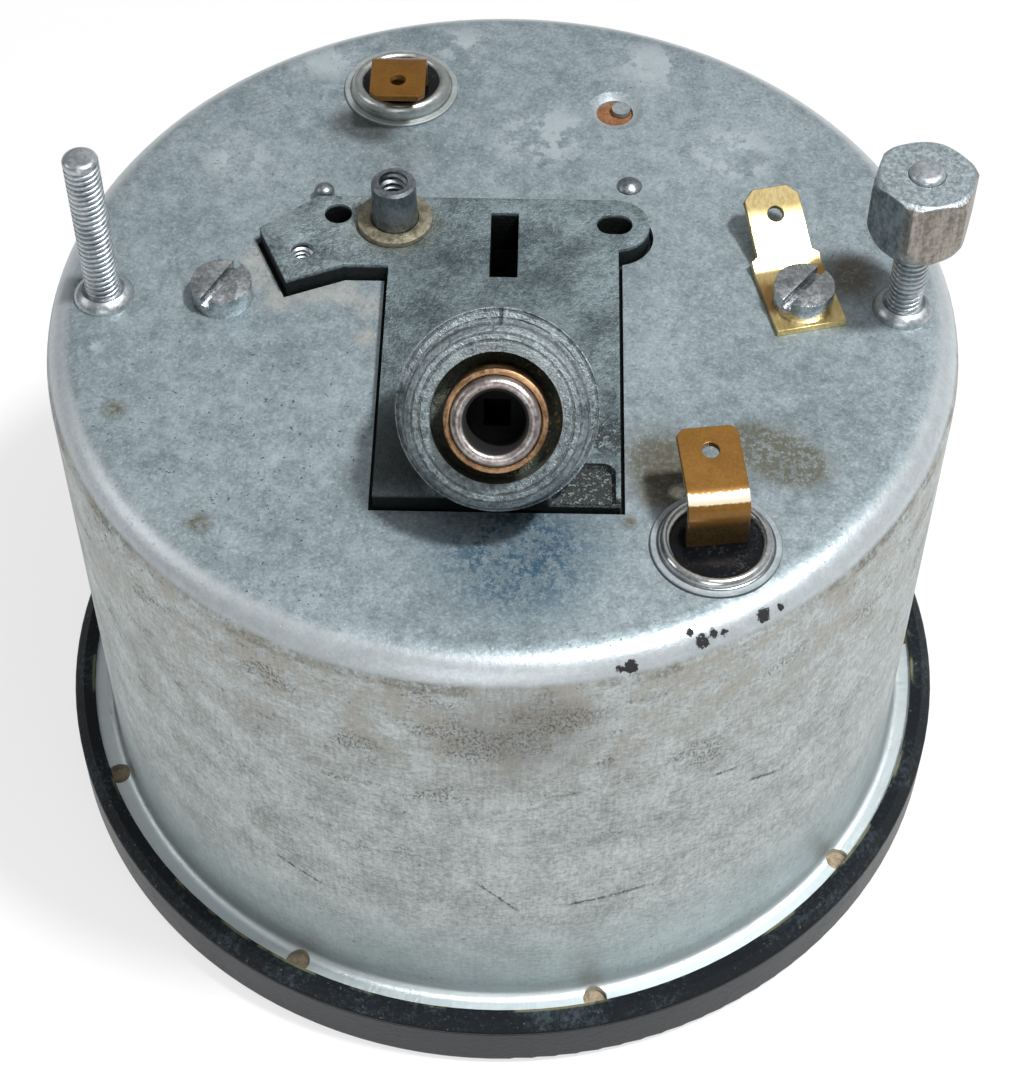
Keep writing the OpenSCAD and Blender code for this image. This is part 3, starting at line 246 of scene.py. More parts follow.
def zincSheet(spot):
    x, y, z = spot.parts()
    around = spot.sum("ARCTAN2", y, x) * layout["caseR"]
    wrapped = spot.make("ShaderNodeCombineXYZ", None, {0: around, 1: z, 2: 0.0})
    side = z.step(zinc["filletFoot"], zinc["wallTop"])                   # 1 on the wall, 0 on the back
    grain = {"cloud": spot.noise(0.06, 4.0, 0.6), "patch": spot.noise(0.5, 6.0, 0.72, 3.0),
             "flake": spot.noise(1.3, 5.0, 0.72, 5.0), "blot": spot.noise(1.7, 5.0, 0.8, 23.0),
             "fine": spot.noise(3.2, 3.0, 0.7, 43.0)}
    blot, fine = grain["blot"], grain["fine"]
    fibre = wrapped.stretch(0.8, 1.1, 1.0).noise(1.7, 5.0, 0.8, 7.0)
    dirty = wrapped.stretch(0.7, 1.2, 1.0).noise(0.2, 4.0, 0.6, 27.0)

    def marked(key, spread=1.0):
        return sum(onBack(spot, mark, spread) for mark in zinc[key]).capped() * (1.0 - side)

    wearAndSheen = z.step(22.0, 46.0) * dirty.step(0.55, 0.64)
    wearAndSheen = wearAndSheen + onWall(wrapped, zinc["wornPatch"]) * dirty.step(0.4, 0.56)
    pits = wrapped.stretch(1.6, 1.0, 1.0).noise(2.0, 4.0, 0.8, 17.0).step(0.49, 0.6)
    pitted = side * pits * wearAndSheen.capped()
    colour = side.tint(zincBack(spot, grain, marked), zincWall(wrapped, z, fibre))
    colour = (0.72 * pitted).tint(colour, zinc["pit"])
    # a darker band low on the fillet, where it meets the wall
    darkBand = z.step(67.4, 68.3) * z.step(69.5, 68.9) * dirty.step(0.44, 0.56) * blot.step(0.36, 0.56)
    colour = (0.7 * darkBand).tint(colour, zinc["darkBand"])

    dotted = (0.35 * grain["cloud"].step(0.4, 0.6) + onBack(spot, zinc["speckled"])).step(0.1, 0.5)
    speck = spot.noise(2.4, 2.0, 0.5, 11.0).step(0.67, 0.71) * dotted
    colour = (0.8 * speck).tint(colour, zinc["sootAndShadow"])
    stain = marked("stains", 1.15) * (0.45 + 0.55 * blot.step(0.42, 0.54))
    colour = (0.92 * stain).tint(colour, zinc["olive"])
    marks = wallScratches(around, z, fibre, blot)
    colour = (0.8 * side * marks).tint(colour, zinc["sootAndShadow"])
    chip = sum(spot.near(*mark) for mark in zinc["chips"])
    chip = chip.step(0.02, 0.08) * (chip + 2.6 * (fine - 0.5) + 2.4 * (blot - 0.5)).step(0.42, 0.5)
    colour = chip.tint(colour, zinc["sootAndShadow"])
    # painted shade: the countersink round the sight hole is darkened
    sink = spot.near(*layout["sightAt"], 70.9, 3.6) * z.step(71.47, 71.3)
    colour = (0.7 * sink).tint(colour, zinc["sunk"])
    foot = z.step(9.4, 7.2)                                              # the bright flange under the wall
    colour = (0.75 * foot).tint(colour, zinc["foot"])
    bright = z.step(71.45, 71.0) * z.step(68.9, 69.6)                    # painted highlight: the fillet is painted paler and smoother all round
    colour = (0.45 * bright * (1.0 - chip)).tint(colour, zinc["rubbed"])
    flaw = (chip + speck + 0.8 * stain + 0.5 * pitted + 0.8 * marks * side).step(0.1, 0.9)
    rough = 0.36 + 0.2 * grain["patch"] + 0.08 * side - 0.12 * foot + 0.4 * flaw - 0.1 * bright
    height = 0.4 * grain["flake"] + 0.3 * fine + 0.4 * grain["patch"] + 0.5 * side * fibre
    height = height - 0.7 * speck - 0.7 * pitted - 0.9 * chip
    metal = (1.0 - 0.9 * flaw) * (0.5 + 0.15 * side + 0.25 * foot)
    return {"Base Color": colour, "Metallic": metal, "Roughness": rough, "bump": (height, 0.08)}


def driveLine(spot):
    # distance along the drive axis from its apex, and away from that axis
    aside = spot.vector("SUBTRACT", (0.0, 0.0, layout["apexZ"]))
    along = aside.vector("DOT_PRODUCT", tuple(driveDir), "Value")
    reach = aside.vector("LENGTH", out="Value")
    square = reach * reach - along * along
    return along, square.sum("MAXIMUM", square, 0.0) ** 0.5


cast = {
    "dark": (0.053, 0.073, 0.08), "pale": (0.225, 0.285, 0.305), "arm": (0.36, 0.42, 0.44),
    "collar": (0.36, 0.40, 0.42), "tick": (0.04, 0.043, 0.044), "ring": (0.045, 0.05, 0.05),
    "grimeAndShade": (0.05, 0.055, 0.05), "crust": (0.24, 0.27, 0.27), "pit": (0.006, 0.007, 0.007),
    "wellDark": (0.012, 0.018, 0.012), "wellPale": (0.065, 0.075, 0.045), "flake": (0.42, 0.3, 0.07),
    "grease": (0.21, 0.175, 0.085), "shade": (0.014, 0.016, 0.016), "sootAndShadow": (0.024, 0.028, 0.028),
    # radii of the turned grooves on the boss's collar
    "grooves": (10.0, 9.15, 8.35, 7.6),
}


def castZinc(spot):
    x, y, z = spot.parts()
    along, off = driveLine(spot)
    grain = spot.noise(1.6, 4.0, 0.65)
    cloud = spot.noise(0.2, 4.0, 0.6, 3.0)
    fine = spot.noise(4.5, 2.0, 0.6, 5.0)
    grimeAndShade = spot.noise(0.9, 5.0, 0.75, 7.0)
    mix = (0.45 * cloud + 0.4 * grain + 0.25 * fine).step(0.40, 0.72)
    colour = mix.tint(cast["dark"], cast["pale"])
    colour = (0.4 * x.step(-12.0, -17.0) * mix).tint(colour, cast["arm"])
    boss = along.step(29.4, 30.2) * off.step(11.5, 10.6)
    colour = (0.6 * boss * mix).tint(colour, cast["collar"])
    face = along.step(31.9, 32.2) * off.step(11.0, 10.5)
    tick = face * x.step(0.05, 0.15) * x.step(0.45, 0.35) * y.step(-24.0, -22.0) * off.step(8.9, 9.1)
    colour = (0.8 * tick).tint(colour, cast["tick"])
    rings = 0.0 * off
    for radius in cast["grooves"]:
        rings = rings + (off - radius + 0.25 * (grimeAndShade - 0.5)).size().step(0.2, 0.05)
    rings = rings * along.step(31.5, 32.0) * grimeAndShade.step(0.36, 0.56)
    colour = (0.65 * rings).tint(colour, cast["ring"])
    colour = (0.75 * boss * grimeAndShade.step(0.56, 0.68)).tint(colour, cast["grimeAndShade"])
    pocket = x.step(5.0, 5.8) * y.step(-24.2, -24.6) * z.step(73.45, 73.1) * z.step(71.9, 72.3)
    pits = (0.6 * grain + 0.5 * fine).step(0.48, 0.57)
    beside = 0.9 * spot.near(11.2, -20.6, layout["plateZ"], 4.4) * grimeAndShade.step(0.42, 0.56)
    eaten = (pocket + beside) * (1.0 - boss)
    colour = (0.9 * eaten.capped()).tint(colour, pits.tint(cast["crust"], cast["pit"]))
    well = off.step(6.62, 6.4) * along.step(33.0, 35.0)
    colour = well.tint(colour, grimeAndShade.step(0.4, 0.62).tint(cast["wellDark"], cast["wellPale"]))
    flake = well * spot.noise(2.6, 3.0, 0.6, 9.0).step(0.58, 0.66) * x.step(-1.5, 2.5)
    colour = (0.8 * flake).tint(colour, cast["flake"])
    ring = spot.near(*layout["resetAt"], 73.6, 6.6)
    colour = (0.75 * ring * grimeAndShade.step(0.36, 0.6)).tint(colour, cast["grease"])
    shade = z.step(73.35, 72.9) * off.step(9.2, 9.7) * (1.0 - pocket)
    colour = (0.96 * shade).tint(colour, cast["shade"])
    # painted shadow: the plate's low left corner beside the boss is darkened
    sootAndShadow = spot.near(-10.0, -22.8, layout["plateZ"], 11.0) * (1.0 - boss)
    colour = (0.82 * sootAndShadow).tint(colour, cast["sootAndShadow"])
    crusted = (well + eaten * pits).step(0.2, 0.9) * (1.0 - flake)
    height = grain + 0.9 * fine + 0.6 * grimeAndShade - 2.6 * eaten * pits
    height = height + 0.8 * well * grain - 0.8 * tick - 0.8 * rings
    return {"Base Color": colour, "Metallic": 0.55 + 0.38 * shade - 0.5 * crusted,
            "Roughness": 0.46 + 0.2 * cloud - 0.1 * boss + 0.2 * pocket, "bump": (height, 0.15)}


def ferruleSteel(spot):
    along, off = driveLine(spot)
    grain = spot.noise(2.4, 4.0, 0.65)
    cloud = spot.noise(0.6, 4.0, 0.6, 3.0)
    colour = (0.5 * cloud + 0.5 * grain).step(0.38, 0.68).tint((0.2, 0.17, 0.16), (0.56, 0.52, 0.51))
    # painted shade: the inside of the drive hole is made near black
    inside = off.step(3.5, 3.2) * along.step(42.7, 42.4)
    colour = inside.tint(colour, (0.003, 0.003, 0.003))
    rim = off.step(4.1, 4.4)
    colour = (0.6 * rim * grain.step(0.45, 0.6)).tint(colour, (0.05, 0.03, 0.02))
    return {"Base Color": colour, "Metallic": 1.0 - 0.95 * inside,
            "Roughness": 0.22 + 0.2 * grain + 0.5 * inside, "bump": (grain + cloud, 0.04)}


def lampChrome(spot):
    x, y, z = spot.parts()
    flat = spot.make("ShaderNodeCombineXYZ", None, {0: x, 1: y, 2: 0.0})
    reach = None
    for cx, cy in layout["lamps"]:
        away = flat.vector("DISTANCE", (cx, cy, 0.0), "Value")
        reach = away if reach is None else reach.sum("MINIMUM", reach, away)
    grain = spot.noise(2.6, 4.0, 0.65)
    cloud = spot.noise(0.5, 4.0, 0.6, 3.0)
    mix = (0.5 * cloud + 0.5 * grain).step(0.38, 0.68)
    colour = mix.tint((0.5, 0.52, 0.52), (0.76, 0.78, 0.78))
    brim = reach.step(5.92, 6.05)
    colour = (0.9 * brim).tint(colour, mix.tint((0.24, 0.285, 0.31), (0.37, 0.415, 0.44)))
    edge = reach.step(6.62, 6.72) + reach.step(5.84, 5.92) * reach.step(6.12, 6.02)
    dull = y.step(0.0, 10.0)                                             # the upper holder has lost its shine
    colour = (0.35 * dull).tint(colour, (0.34, 0.36, 0.32))
    colour = ((0.85 - 0.4 * dull) * edge).tint(colour, (0.035, 0.038, 0.038))
    rough = 0.16 + 0.12 * mix + 0.3 * brim + 0.14 * dull * (1.0 - brim)
    return {"Base Color": colour, "Metallic": 1.0 - 0.5 * brim, "Roughness": rough,
            "bump": (grain + cloud, 0.012)}


def sightFibre(spot):
    x, y, z = spot.parts()
    grain = spot.noise(3.0, 4.0, 0.65)
    cloud = spot.noise(0.5, 4.0, 0.6, 3.0)
    mix = (0.5 * cloud + 0.5 * grain).step(0.38, 0.68)
    pin = z.step(70.85, 71.0)
    disc = mix.tint((0.14, 0.055, 0.018), (0.3, 0.14, 0.055))
    colour = pin.tint(disc, mix.tint((0.2, 0.24, 0.25), (0.34, 0.38, 0.4)))
    return {"Base Color": colour, "Metallic": 0.5 * pin, "Roughness": 0.75 - 0.25 * pin,
            "bump": (grain, 0.06)}


def rubbed(dark, pale, low, high, coarse=0.5, fine=3.0, depth=0.03, metal=1.0):
    # worn metal or paint: two colours mixed by coarse and fine mottling, from low to high roughness
    def recipe(spot):
        grain = spot.noise(fine, 4.0, 0.65)
        cloud = spot.noise(coarse, 4.0, 0.6, 3.0)
        mix = (0.55 * cloud + 0.5 * grain).step(0.38, 0.68)
        return {"Base Color": mix.tint(dark, pale), "Metallic": metal, "Roughness": low + (high - low) * mix,
                "bump": (grain + cloud, depth)}
    return recipe


def nutAlloy(spot):
    x, y, z = spot.parts()
    streak = spot.stretch(1.0, 1.0, 0.14).noise(1.3, 5.0, 0.75)
    grain = spot.noise(2.2, 4.0, 0.65, 3.0)
    mix = (0.6 * streak + 0.45 * grain).step(0.4, 0.66)
    # painted light: the faces towards the right and front get a warm tint, and the top face a paler colour
    warm = (0.75 * (x - layout["studX"]) - 0.66 * y).step(0.5, 2.5)
    grey = mix.tint((0.09, 0.11, 0.12), (0.31, 0.36, 0.38))
    colour = warm.tint(grey, mix.tint((0.15, 0.135, 0.115), (0.42, 0.385, 0.345)))
    top = z.step(90.9, 91.2)
    colour = top.tint(colour, grain.step(0.34, 0.66).tint((0.22, 0.27, 0.29), (0.4, 0.46, 0.49)))
    return {"Base Color": colour, "Metallic": 0.7, "Roughness": 0.34 + 0.2 * mix,
            "bump": (grain + 0.8 * streak, 0.08)}


def bezelBlack(spot):
    x, y, z = spot.parts()
    lip = z.step(6.85, 7.1)
    grain = spot.noise(1.5, 5.0, 0.78)
    cloud = spot.noise(0.15, 4.0, 0.6, 3.0)
    dust = (0.65 * grain + 0.45 * cloud).step(0.54, 0.72)
    colour = (0.16 * dust + 0.4 * lip * dust).tint((0.003, 0.006, 0.0095), (0.09, 0.13, 0.15))
    chalk = lip * spot.noise(2.6, 3.0, 0.6, 7.0).step(0.64, 0.71)
    colour = (0.4 * chalk).tint(colour, (0.34, 0.38, 0.39))
    reach = (x * x + y * y) ** 0.5
    line = lip * reach.step(53.0, 52.8) * cloud.step(0.5, 0.6)
    colour = (0.6 * line).tint(colour, (0.3, 0.3, 0.17))
    darkBand = z.step(6.6, 6.75) * z.step(7.05, 6.9)
    colour = (0.8 * darkBand).tint(colour, (0.004, 0.004, 0.005))
    return {"Base Color": colour, "Metallic": 0.0, "Roughness": 0.36 + 0.3 * lip + 0.16 * dust,
            "Specular IOR Level": 0.3, "bump": (grain * (0.25 + 1.6 * lip) - 0.5 * darkBand, 0.32)}


def copperStrip(spot):
    x, y, z = spot.parts()
    grain = spot.noise(3.4, 4.0, 0.65)
    cloud = spot.noise(0.45, 4.0, 0.6, 3.0)
    mix = (0.5 * cloud + 0.5 * grain).step(0.36, 0.66)
    colour = mix.tint((0.16, 0.076, 0.013), (0.225, 0.11, 0.021))
    colour = (0.85 * y.step(0.0, 10.0)).tint(colour, mix.tint((0.125, 0.053, 0.006), (0.18, 0.078, 0.01)))
    # the lower tab's leg is darker towards its foot: grime and painted shadow
    grimeAndShade = z.step(76.3, 74.9) * (0.75 + 0.25 * grain.step(0.4, 0.62)) * y.step(0.0, -10.0)
    wearAndSheen = z + 0.4 * (grain - 0.5) + 0.4 * (cloud - 0.5)
    # bare worn metal along the lower tab's bend, which is also a painted highlight where the lamps reflect in
    # the bend
    wearAndSheen = wearAndSheen.step(77.72, 77.86) * wearAndSheen.step(78.52, 78.4) * y.step(-29.0, -29.6)
    colour = (0.85 * wearAndSheen).tint(colour, (0.85, 0.78, 0.62))
    colour = (0.95 * grimeAndShade).tint(colour, (0.02, 0.016, 0.009))
    return {"Base Color": colour, "Metallic": 0.35, "Roughness": 0.3 + 0.1 * grain + 0.2 * grimeAndShade,
            "Specular IOR Level": 0.15, "Coat Weight": 0.3 * (1.0 - grimeAndShade), "Coat Roughness": 0.14,
            "bump": (grain, 0.012)}


def brassStrip(spot):
    grain = spot.stretch(1.0, 0.25, 1.0).noise(3.0, 4.0, 0.6)
    cloud = spot.noise(0.35, 4.0, 0.6, 3.0)
    x, y, z = spot.parts()
    brown = spot.near(35.5, 4.0, 72.5, 3.4) + spot.near(28.9, 0.6, 72.4, 3.6)
    colour = (0.5 * cloud + 0.5 * grain).step(0.38, 0.68).tint((0.6, 0.44, 0.17), (0.85, 0.7, 0.38))
    colour = (brown * cloud.step(0.35, 0.6)).capped(0.8).tint(colour, (0.3, 0.15, 0.04))
    # painted shade: the blade's end is darker, so that it shows less reflection
    tip = z.step(74.5, 75.7)
    colour = (0.9 * tip).tint(colour, grain.step(0.35, 0.65).tint((0.13, 0.1, 0.042), (0.22, 0.18, 0.09)))
    return {"Base Color": colour, "Metallic": 0.85, "Roughness": 0.22 + 0.16 * grain + 0.3 * tip,
            "bump": (grain, 0.025)}


def dustyBlack(spot):
    grain = spot.noise(2.8, 4.0, 0.7)
    dust = (0.6 * grain + 0.5 * spot.noise(0.5, 3.0, 0.6, 3.0)).step(0.55, 0.74)
    colour = (0.2 * dust).tint((0.002, 0.0025, 0.004), (0.09, 0.09, 0.08))
    return {"Base Color": colour, "Roughness": 0.13 + 0.4 * dust, "Specular IOR Level": 0.25,
            "bump": (grain, 0.03)}


def drumFace(spot):
    grain = spot.noise(3.0, 3.0, 0.6)
    colour = grain.step(0.35, 0.7).tint((0.012, 0.012, 0.013), (0.03, 0.03, 0.032))
    return {"Base Color": colour, "Roughness": 0.45 + 0.15 * grain, "bump": (grain, 0.02)}


def clearGlass(spot):
    haze = spot.noise(0.2, 4.0, 0.6).step(0.5, 0.8)
    return {"Base Color": (0.97, 0.985, 0.98), "Roughness": 0.02 + 0.05 * haze,
            "Transmission Weight": 1.0, "IOR": 1.5}


def whitePaint(spot):
    grain = spot.noise(2.0, 3.0, 0.6)
    colour = grain.step(0.3, 0.7).tint((0.72, 0.72, 0.68), (0.84, 0.84, 0.81))
    return {"Base Color": colour, "Roughness": 0.5 + 0.1 * grain}


recipes = {
    "zincSheet": zincSheet,
    "castZinc": castZinc,
    "bezelBlack": bezelBlack,
    "copperStrip": copperStrip,
    "brassStrip": brassStrip,
    "dustyBlack": dustyBlack,
    "drumFace": drumFace,
    "clearGlass": clearGlass,
    "whitePaint": whitePaint,
    "studSteel": rubbed((0.3, 0.34, 0.36), (0.58, 0.62, 0.64),
                        0.28, 0.44, coarse=0.4, fine=2.4, depth=0.006, metal=0.85),
    "nutAlloy": nutAlloy,
    "screwSteel": rubbed((0.28, 0.3, 0.31), (0.7, 0.73, 0.75), 0.18, 0.36, coarse=0.6, fine=2.6, depth=0.03),
    "rivetSteel": rubbed((0.15, 0.175, 0.185), (0.36, 0.39, 0.41), 0.3, 0.46),
    "stubSteel": rubbed((0.12, 0.14, 0.15), (0.26, 0.29, 0.31), 0.36, 0.55, coarse=0.4, fine=2.6),
    "lampChrome": lampChrome,
    "sightFibre": sightFibre,
    "bushBronze": rubbed((0.14, 0.078, 0.04), (0.42, 0.26, 0.145), 0.28, 0.5, coarse=0.5, fine=2.4),
    "ferruleSteel": ferruleSteel,
    "gearBrass": rubbed((0.42, 0.29, 0.1), (0.66, 0.5, 0.22), 0.28, 0.45),
    "plateBrass": rubbed((0.4, 0.33, 0.18), (0.58, 0.49, 0.3), 0.34, 0.5, coarse=0.12, fine=1.6),
    "shaftSteel": rubbed((0.36, 0.38, 0.39), (0.56, 0.58, 0.59), 0.2, 0.36),
    "magnetGrey": rubbed((0.05, 0.055, 0.06), (0.1, 0.105, 0.11), 0.4, 0.6, coarse=0.4, fine=2.5),
    "cupAlloy": rubbed((0.52, 0.53, 0.54), (0.68, 0.69, 0.7), 0.26, 0.4, coarse=0.3, fine=2.0),
    "greasyBush": rubbed((0.12, 0.105, 0.06), (0.33, 0.305, 0.23),
                         0.34, 0.55, coarse=0.6, fine=2.2, depth=0.05, metal=0.6),
    "fibre": rubbed((0.13, 0.085, 0.045), (0.4, 0.32, 0.22),
                    0.6, 0.85, coarse=0.4, fine=2.0, depth=0.06, metal=0.0),
    "sealRubber": rubbed((0.008, 0.008, 0.008), (0.022, 0.022, 0.022),
                         0.55, 0.75, coarse=0.4, fine=2.4, depth=0.04, metal=0.0),
    "pointerPaint": rubbed((0.62, 0.1, 0.02), (0.74, 0.15, 0.03),
                           0.34, 0.46, coarse=0.3, fine=2.4, depth=0.015, metal=0.0),
    "dialPaint": rubbed((0.01, 0.0105, 0.0115), (0.018, 0.019, 0.02),
                        0.42, 0.56, coarse=0.2, fine=3.0, depth=0.015, metal=0.0),
    "springBronze": rubbed((0.32, 0.22, 0.1), (0.5, 0.36, 0.18), 0.24, 0.4),
}
finishes = {name: newFinish(name, recipe) for name, recipe in recipes.items()}
print("finishes:", len(finishes))

# the finish of each solid; the counter drums, left out here, have drumFace
dressed = {
    "case": "zincSheet", "bezel": "bezelBlack", "lens": "clearGlass", "lens_seal": "sealRubber",
    "rim_gasket": "fibre", "mounting_studs": "studSteel", "stud_nut": "nutAlloy",
    "frame_screws": "screwSteel", "earth_terminal": "brassStrip", "lamp_sleeves": "lampChrome",
    "lamp_insulators": "dustyBlack", "upper_lamp_tab": "copperStrip", "lower_lamp_tab": "copperStrip",
    "lamp_caps": "gearBrass", "lamp_bulbs": "clearGlass", "case_rivets": "rivetSteel",
    "sight_disc": "sightFibre", "movement_frame": "castZinc", "drive_bush": "bushBronze",
    "drive_shaft": "ferruleSteel", "drive_bevel": "gearBrass", "spindle_bush": "bushBronze",
    "spindle": "shaftSteel", "spindle_bevel": "gearBrass", "magnet": "magnetGrey", "flux_ring": "stubSteel",
    "speed_cup": "cupAlloy", "cup_staff": "shaftSteel", "staff_bush": "bushBronze",
    "hairspring": "springBronze", "pointer": "pointerPaint", "pointer_cap": "drumFace",
    "frame_pillars": "shaftSteel", "front_plate": "plateBrass", "plate_screws": "screwSteel",
    "dial": "dialPaint", "dial_posts": "shaftSteel", "dial_screws": "screwSteel",
    "cross_shaft": "shaftSteel", "odometer_layshaft": "gearBrass", "trip_layshaft": "gearBrass",
    "odometer_frame": "plateBrass", "odometer_shaft": "shaftSteel", "trip_frame": "plateBrass",
    "trip_shaft": "shaftSteel", "reset_bush": "greasyBush", "reset_spindle": "stubSteel",
    "reset_arbor": "stubSteel", "reset_wheel": "gearBrass",
}
for name, node in nodes.items():
    finish = finishes[dressed.get(name, "drumFace")]
    node.data.materials.clear()
    node.data.materials.append(finish)


# Mesh helpers; every mesh is made in millimetres in the part's own frame

def addPiece(name, mesh, body, finish, replaced=(), smoothAngle=32.0):
    bmesh.ops.recalc_face_normals(mesh, faces=mesh.faces)
    limit = math.radians(smoothAngle)
    for face in mesh.faces:
        face.smooth = True
    for edge in mesh.edges:
        edge.smooth = len(edge.link_faces) == 2 and edge.calc_face_angle(0.0) < limit
    mesh.transform(Matrix.Scale(mm, 4))
    data = bpy.data.meshes.new(name)
    mesh.to_mesh(data)
    mesh.free()
    data.materials.append(finishes[finish])
    piece = bpy.data.objects.new(name, data)
    scene.collection.objects.link(piece)
    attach(piece, body)
    if replaced:
        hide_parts(*replaced)


def addGrid(mesh, rows):
    # faces between rows of points; each row joins its end to its start
    made = [[mesh.verts.new(p) for p in row] for row in rows]
    for low, high in zip(made, made[1:]):
        count = len(low)
        for i in range(count):
            j = (i + 1) % count
            mesh.faces.new((low[i], low[j], high[j], high[i]))
    return made


def polar(radius, turn, z):
    return Vector((radius * math.cos(turn), radius * math.sin(turn), z))


def circle(radius, z, count):
    return [polar(radius, 2 * math.pi * i / count, z) for i in range(count)]


def lathe(mesh, profile, count, place=Matrix()):
    # turned ring from (radius, height) points; the last point joins the first
    addGrid(mesh, [[place @ p for p in circle(r, z, count)] for r, z in profile + profile[:1]])
    bmesh.ops.remove_doubles(mesh, verts=mesh.verts, dist=1e-5)


def addTube(mesh, rows):
    # rows of points with both ends closed
    made = addGrid(mesh, rows)
    mesh.faces.new(made[0])
    mesh.faces.new(made[-1])


def roundEdges(mesh, width, angle):
    # rounds the edges whose faces meet at more than that angle in degrees
    sharp = [e for e in mesh.edges if len(e.link_faces) == 2 and e.calc_face_angle(0.0) > math.radians(angle)]
    bmesh.ops.bevel(mesh, geom=sharp, offset=width, segments=2, profile=0.5, affect="EDGES",
                    clamp_overlap=True)


def turnedAt(at, degrees):
    return Matrix.Translation(at) @ Matrix.Rotation(math.radians(degrees), 4, "Z")


def threadRow(low, high, crest, root, pitch, count, perTurn=14, runOut=0.8):
    # rows of points up a threaded rod, with the thread fading out at both ends
    steps = round((high - low) / pitch * perTurn)
    rows = []
    for k in range(steps + 1):
        z = low + (high - low) * k / steps
        fade = min(1.0, (z - low) / runOut, (high - z) / runOut)
        row = []
        for i in range(count):
            phase = (z / pitch - i / count) % 1.0
            rise = max(0.0, min(1.0, 2.0 - abs(phase - 0.5) * 4.6))
            radius = crest + (root - crest) * (1.0 - rise) * max(0.0, fade)
            row.append(polar(radius, 2 * math.pi * i / count, z))
        rows.append(row)
    return rows


def refined(name, width):
    # a finer copy of a solid: its sharp edges are rounded by that width
    source = nodes[name]
    mesh = bmesh.new()
    mesh.from_mesh(source.data)
    mesh.transform(Matrix.Scale(1 / mm, 4))
    bmesh.ops.remove_doubles(mesh, verts=mesh.verts, dist=1e-4)
    bmesh.ops.dissolve_limit(mesh, angle_limit=math.radians(1.0), verts=mesh.verts, edges=mesh.edges)
    roundEdges(mesh, width, 28.0)
    addPiece(name + "Fine", mesh, source["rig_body"], dressed[name], [name], 24.0)


# Threaded mounting studs on their weld collars
stud = {"crest": 1.9, "root": 1.52, "pitch": 0.7, "tip": 91.9, "chamfer": 0.5, "collar": 3.3,
        "threadFoot": 72.3, "points": 64, "collarPoints": 48,
        # how far in from the crest and down from the tip the rounded end goes
        "end": ((0.12, 0.25), (0.5, 0.02), (0.8, 0.0)),
        # the weld's section inside the collar's edge: radius, and height above the back
        "weld": ((2.35, 1.2), (2.0, 0.95), (1.7, 0.95))}
mesh = bmesh.new()
for side in (-1, 1):
    part = bmesh.new()
    crest, base, r = stud["crest"], layout["backZ"], stud["collar"]
    rows = [circle(crest, base, stud["points"])]
    rows += threadRow(stud["threadFoot"], stud["tip"] - stud["chamfer"], crest, stud["root"], stud["pitch"],
                      stud["points"])
    rows += [circle(crest - inward, stud["tip"] - down, stud["points"]) for inward, down in stud["end"]]
    addTube(part, rows)
    section = [(1.7, 0.0), (r, 0.0), (r, 0.25), (r - 0.25, 0.7), (r - 0.7, 1.05), *stud["weld"]]
    lathe(part, [(radius, base + up) for radius, up in section], stud["collarPoints"])
    part.transform(Matrix.Translation((side * layout["studX"], 0, 0)))
    joined = bpy.data.meshes.new("studPart")
    part.to_mesh(joined)
    part.free()
    mesh.from_mesh(joined)
    bpy.data.meshes.remove(joined)
addPiece("threadedStuds", mesh, "instrument", "studSteel", ["mounting_studs"], 50.0)
print("studs made")


# Tall nut on the right stud: a hexagon turned down at its top and further at its worn foot
nut = {"flat": 5.0, "turn": 12.0, "base": 82.3, "height": 9.0, "bore": 1.94, "points": 144, "steps": 6,
       "edge": 0.1,
       # turned radius, and height from the foot or depth from the top
       "foot": [(4.2, 0.0), (5.0, 1.0), (5.45, 2.1), (5.78, 3.4)],
       "top": [(5.78, 1.1), (5.35, 0.35), (4.8, 0.0)]}


def nutRow(limit, z):
    # the hexagon at one height, cut down to the turned radius there
    row = []
    for i in range(nut["points"]):
        turn = 2 * math.pi * i / nut["points"]
        row.append(polar(min(limit, nut["flat"] / math.cos(turn % (math.pi / 3) - math.pi / 6)), turn, z))
    return row


turned = nut["foot"] + [(r, nut["height"] - drop) for r, drop in nut["top"]]
rows = [circle(nut["bore"], 0.0, nut["points"]), nutRow(*turned[0])]
for (r0, z0), (r1, z1) in zip(turned, turned[1:]):
    for share in [k / nut["steps"] for k in range(1, nut["steps"] + 1)]:
        rows.append(nutRow(r0 + (r1 - r0) * share, z0 + (z1 - z0) * share))
rows.append(circle(nut["bore"], nut["height"], nut["points"]))
mesh = bmesh.new()
addGrid(mesh, rows + rows[:1])
bmesh.ops.remove_doubles(mesh, verts=mesh.verts, dist=1e-5)
bmesh.ops.recalc_face_normals(mesh, faces=mesh.faces)
roundEdges(mesh, nut["edge"], 42.0)
mesh.transform(turnedAt((layout["studX"], 0, nut["base"]), nut["turn"]))
addPiece("tallNut", mesh, "nut", "nutAlloy", ["stud_nut"], 18.0)
print("nut made")


# Push-on blades and lamp tabs: strips with rounded bends

lampTab = {"thick": 0.8, "width": 6.3, "root": 2.0, "tip": 0.7, "hole": 0.9, "holeBack": 2.8, "bend": 2.2,
           "sunk": 0.5}
lampTabs = {
    "upper": {"at": layout["lamps"][0], "bead": 1.5, "leg": 4.8, "end": 7.8, "slope": 0.0, "turn": 180.0},
    "lower": {"at": layout["lamps"][1], "bead": 1.2, "leg": 6.2, "end": 9.0, "slope": 8.0, "turn": 8.0},
}
earth = {"at": (32.6, 0.0), "turn": 14.0, "straight": 5.2, "rise": 26.0, "end": 9.8, "tip": 1.2, "hole": 0.9,
         "holeBack": 3.2, "thick": 0.8, "width": 6.3, "bend": 1.6, "footWidth": 7.8, "footFar": 3.7,
         "neck": 1.2, "shoulder": 0.5}
strip = {"edge": 0.1, "holePoints": 24, "bendCuts": 10, "flatCuts": 4}


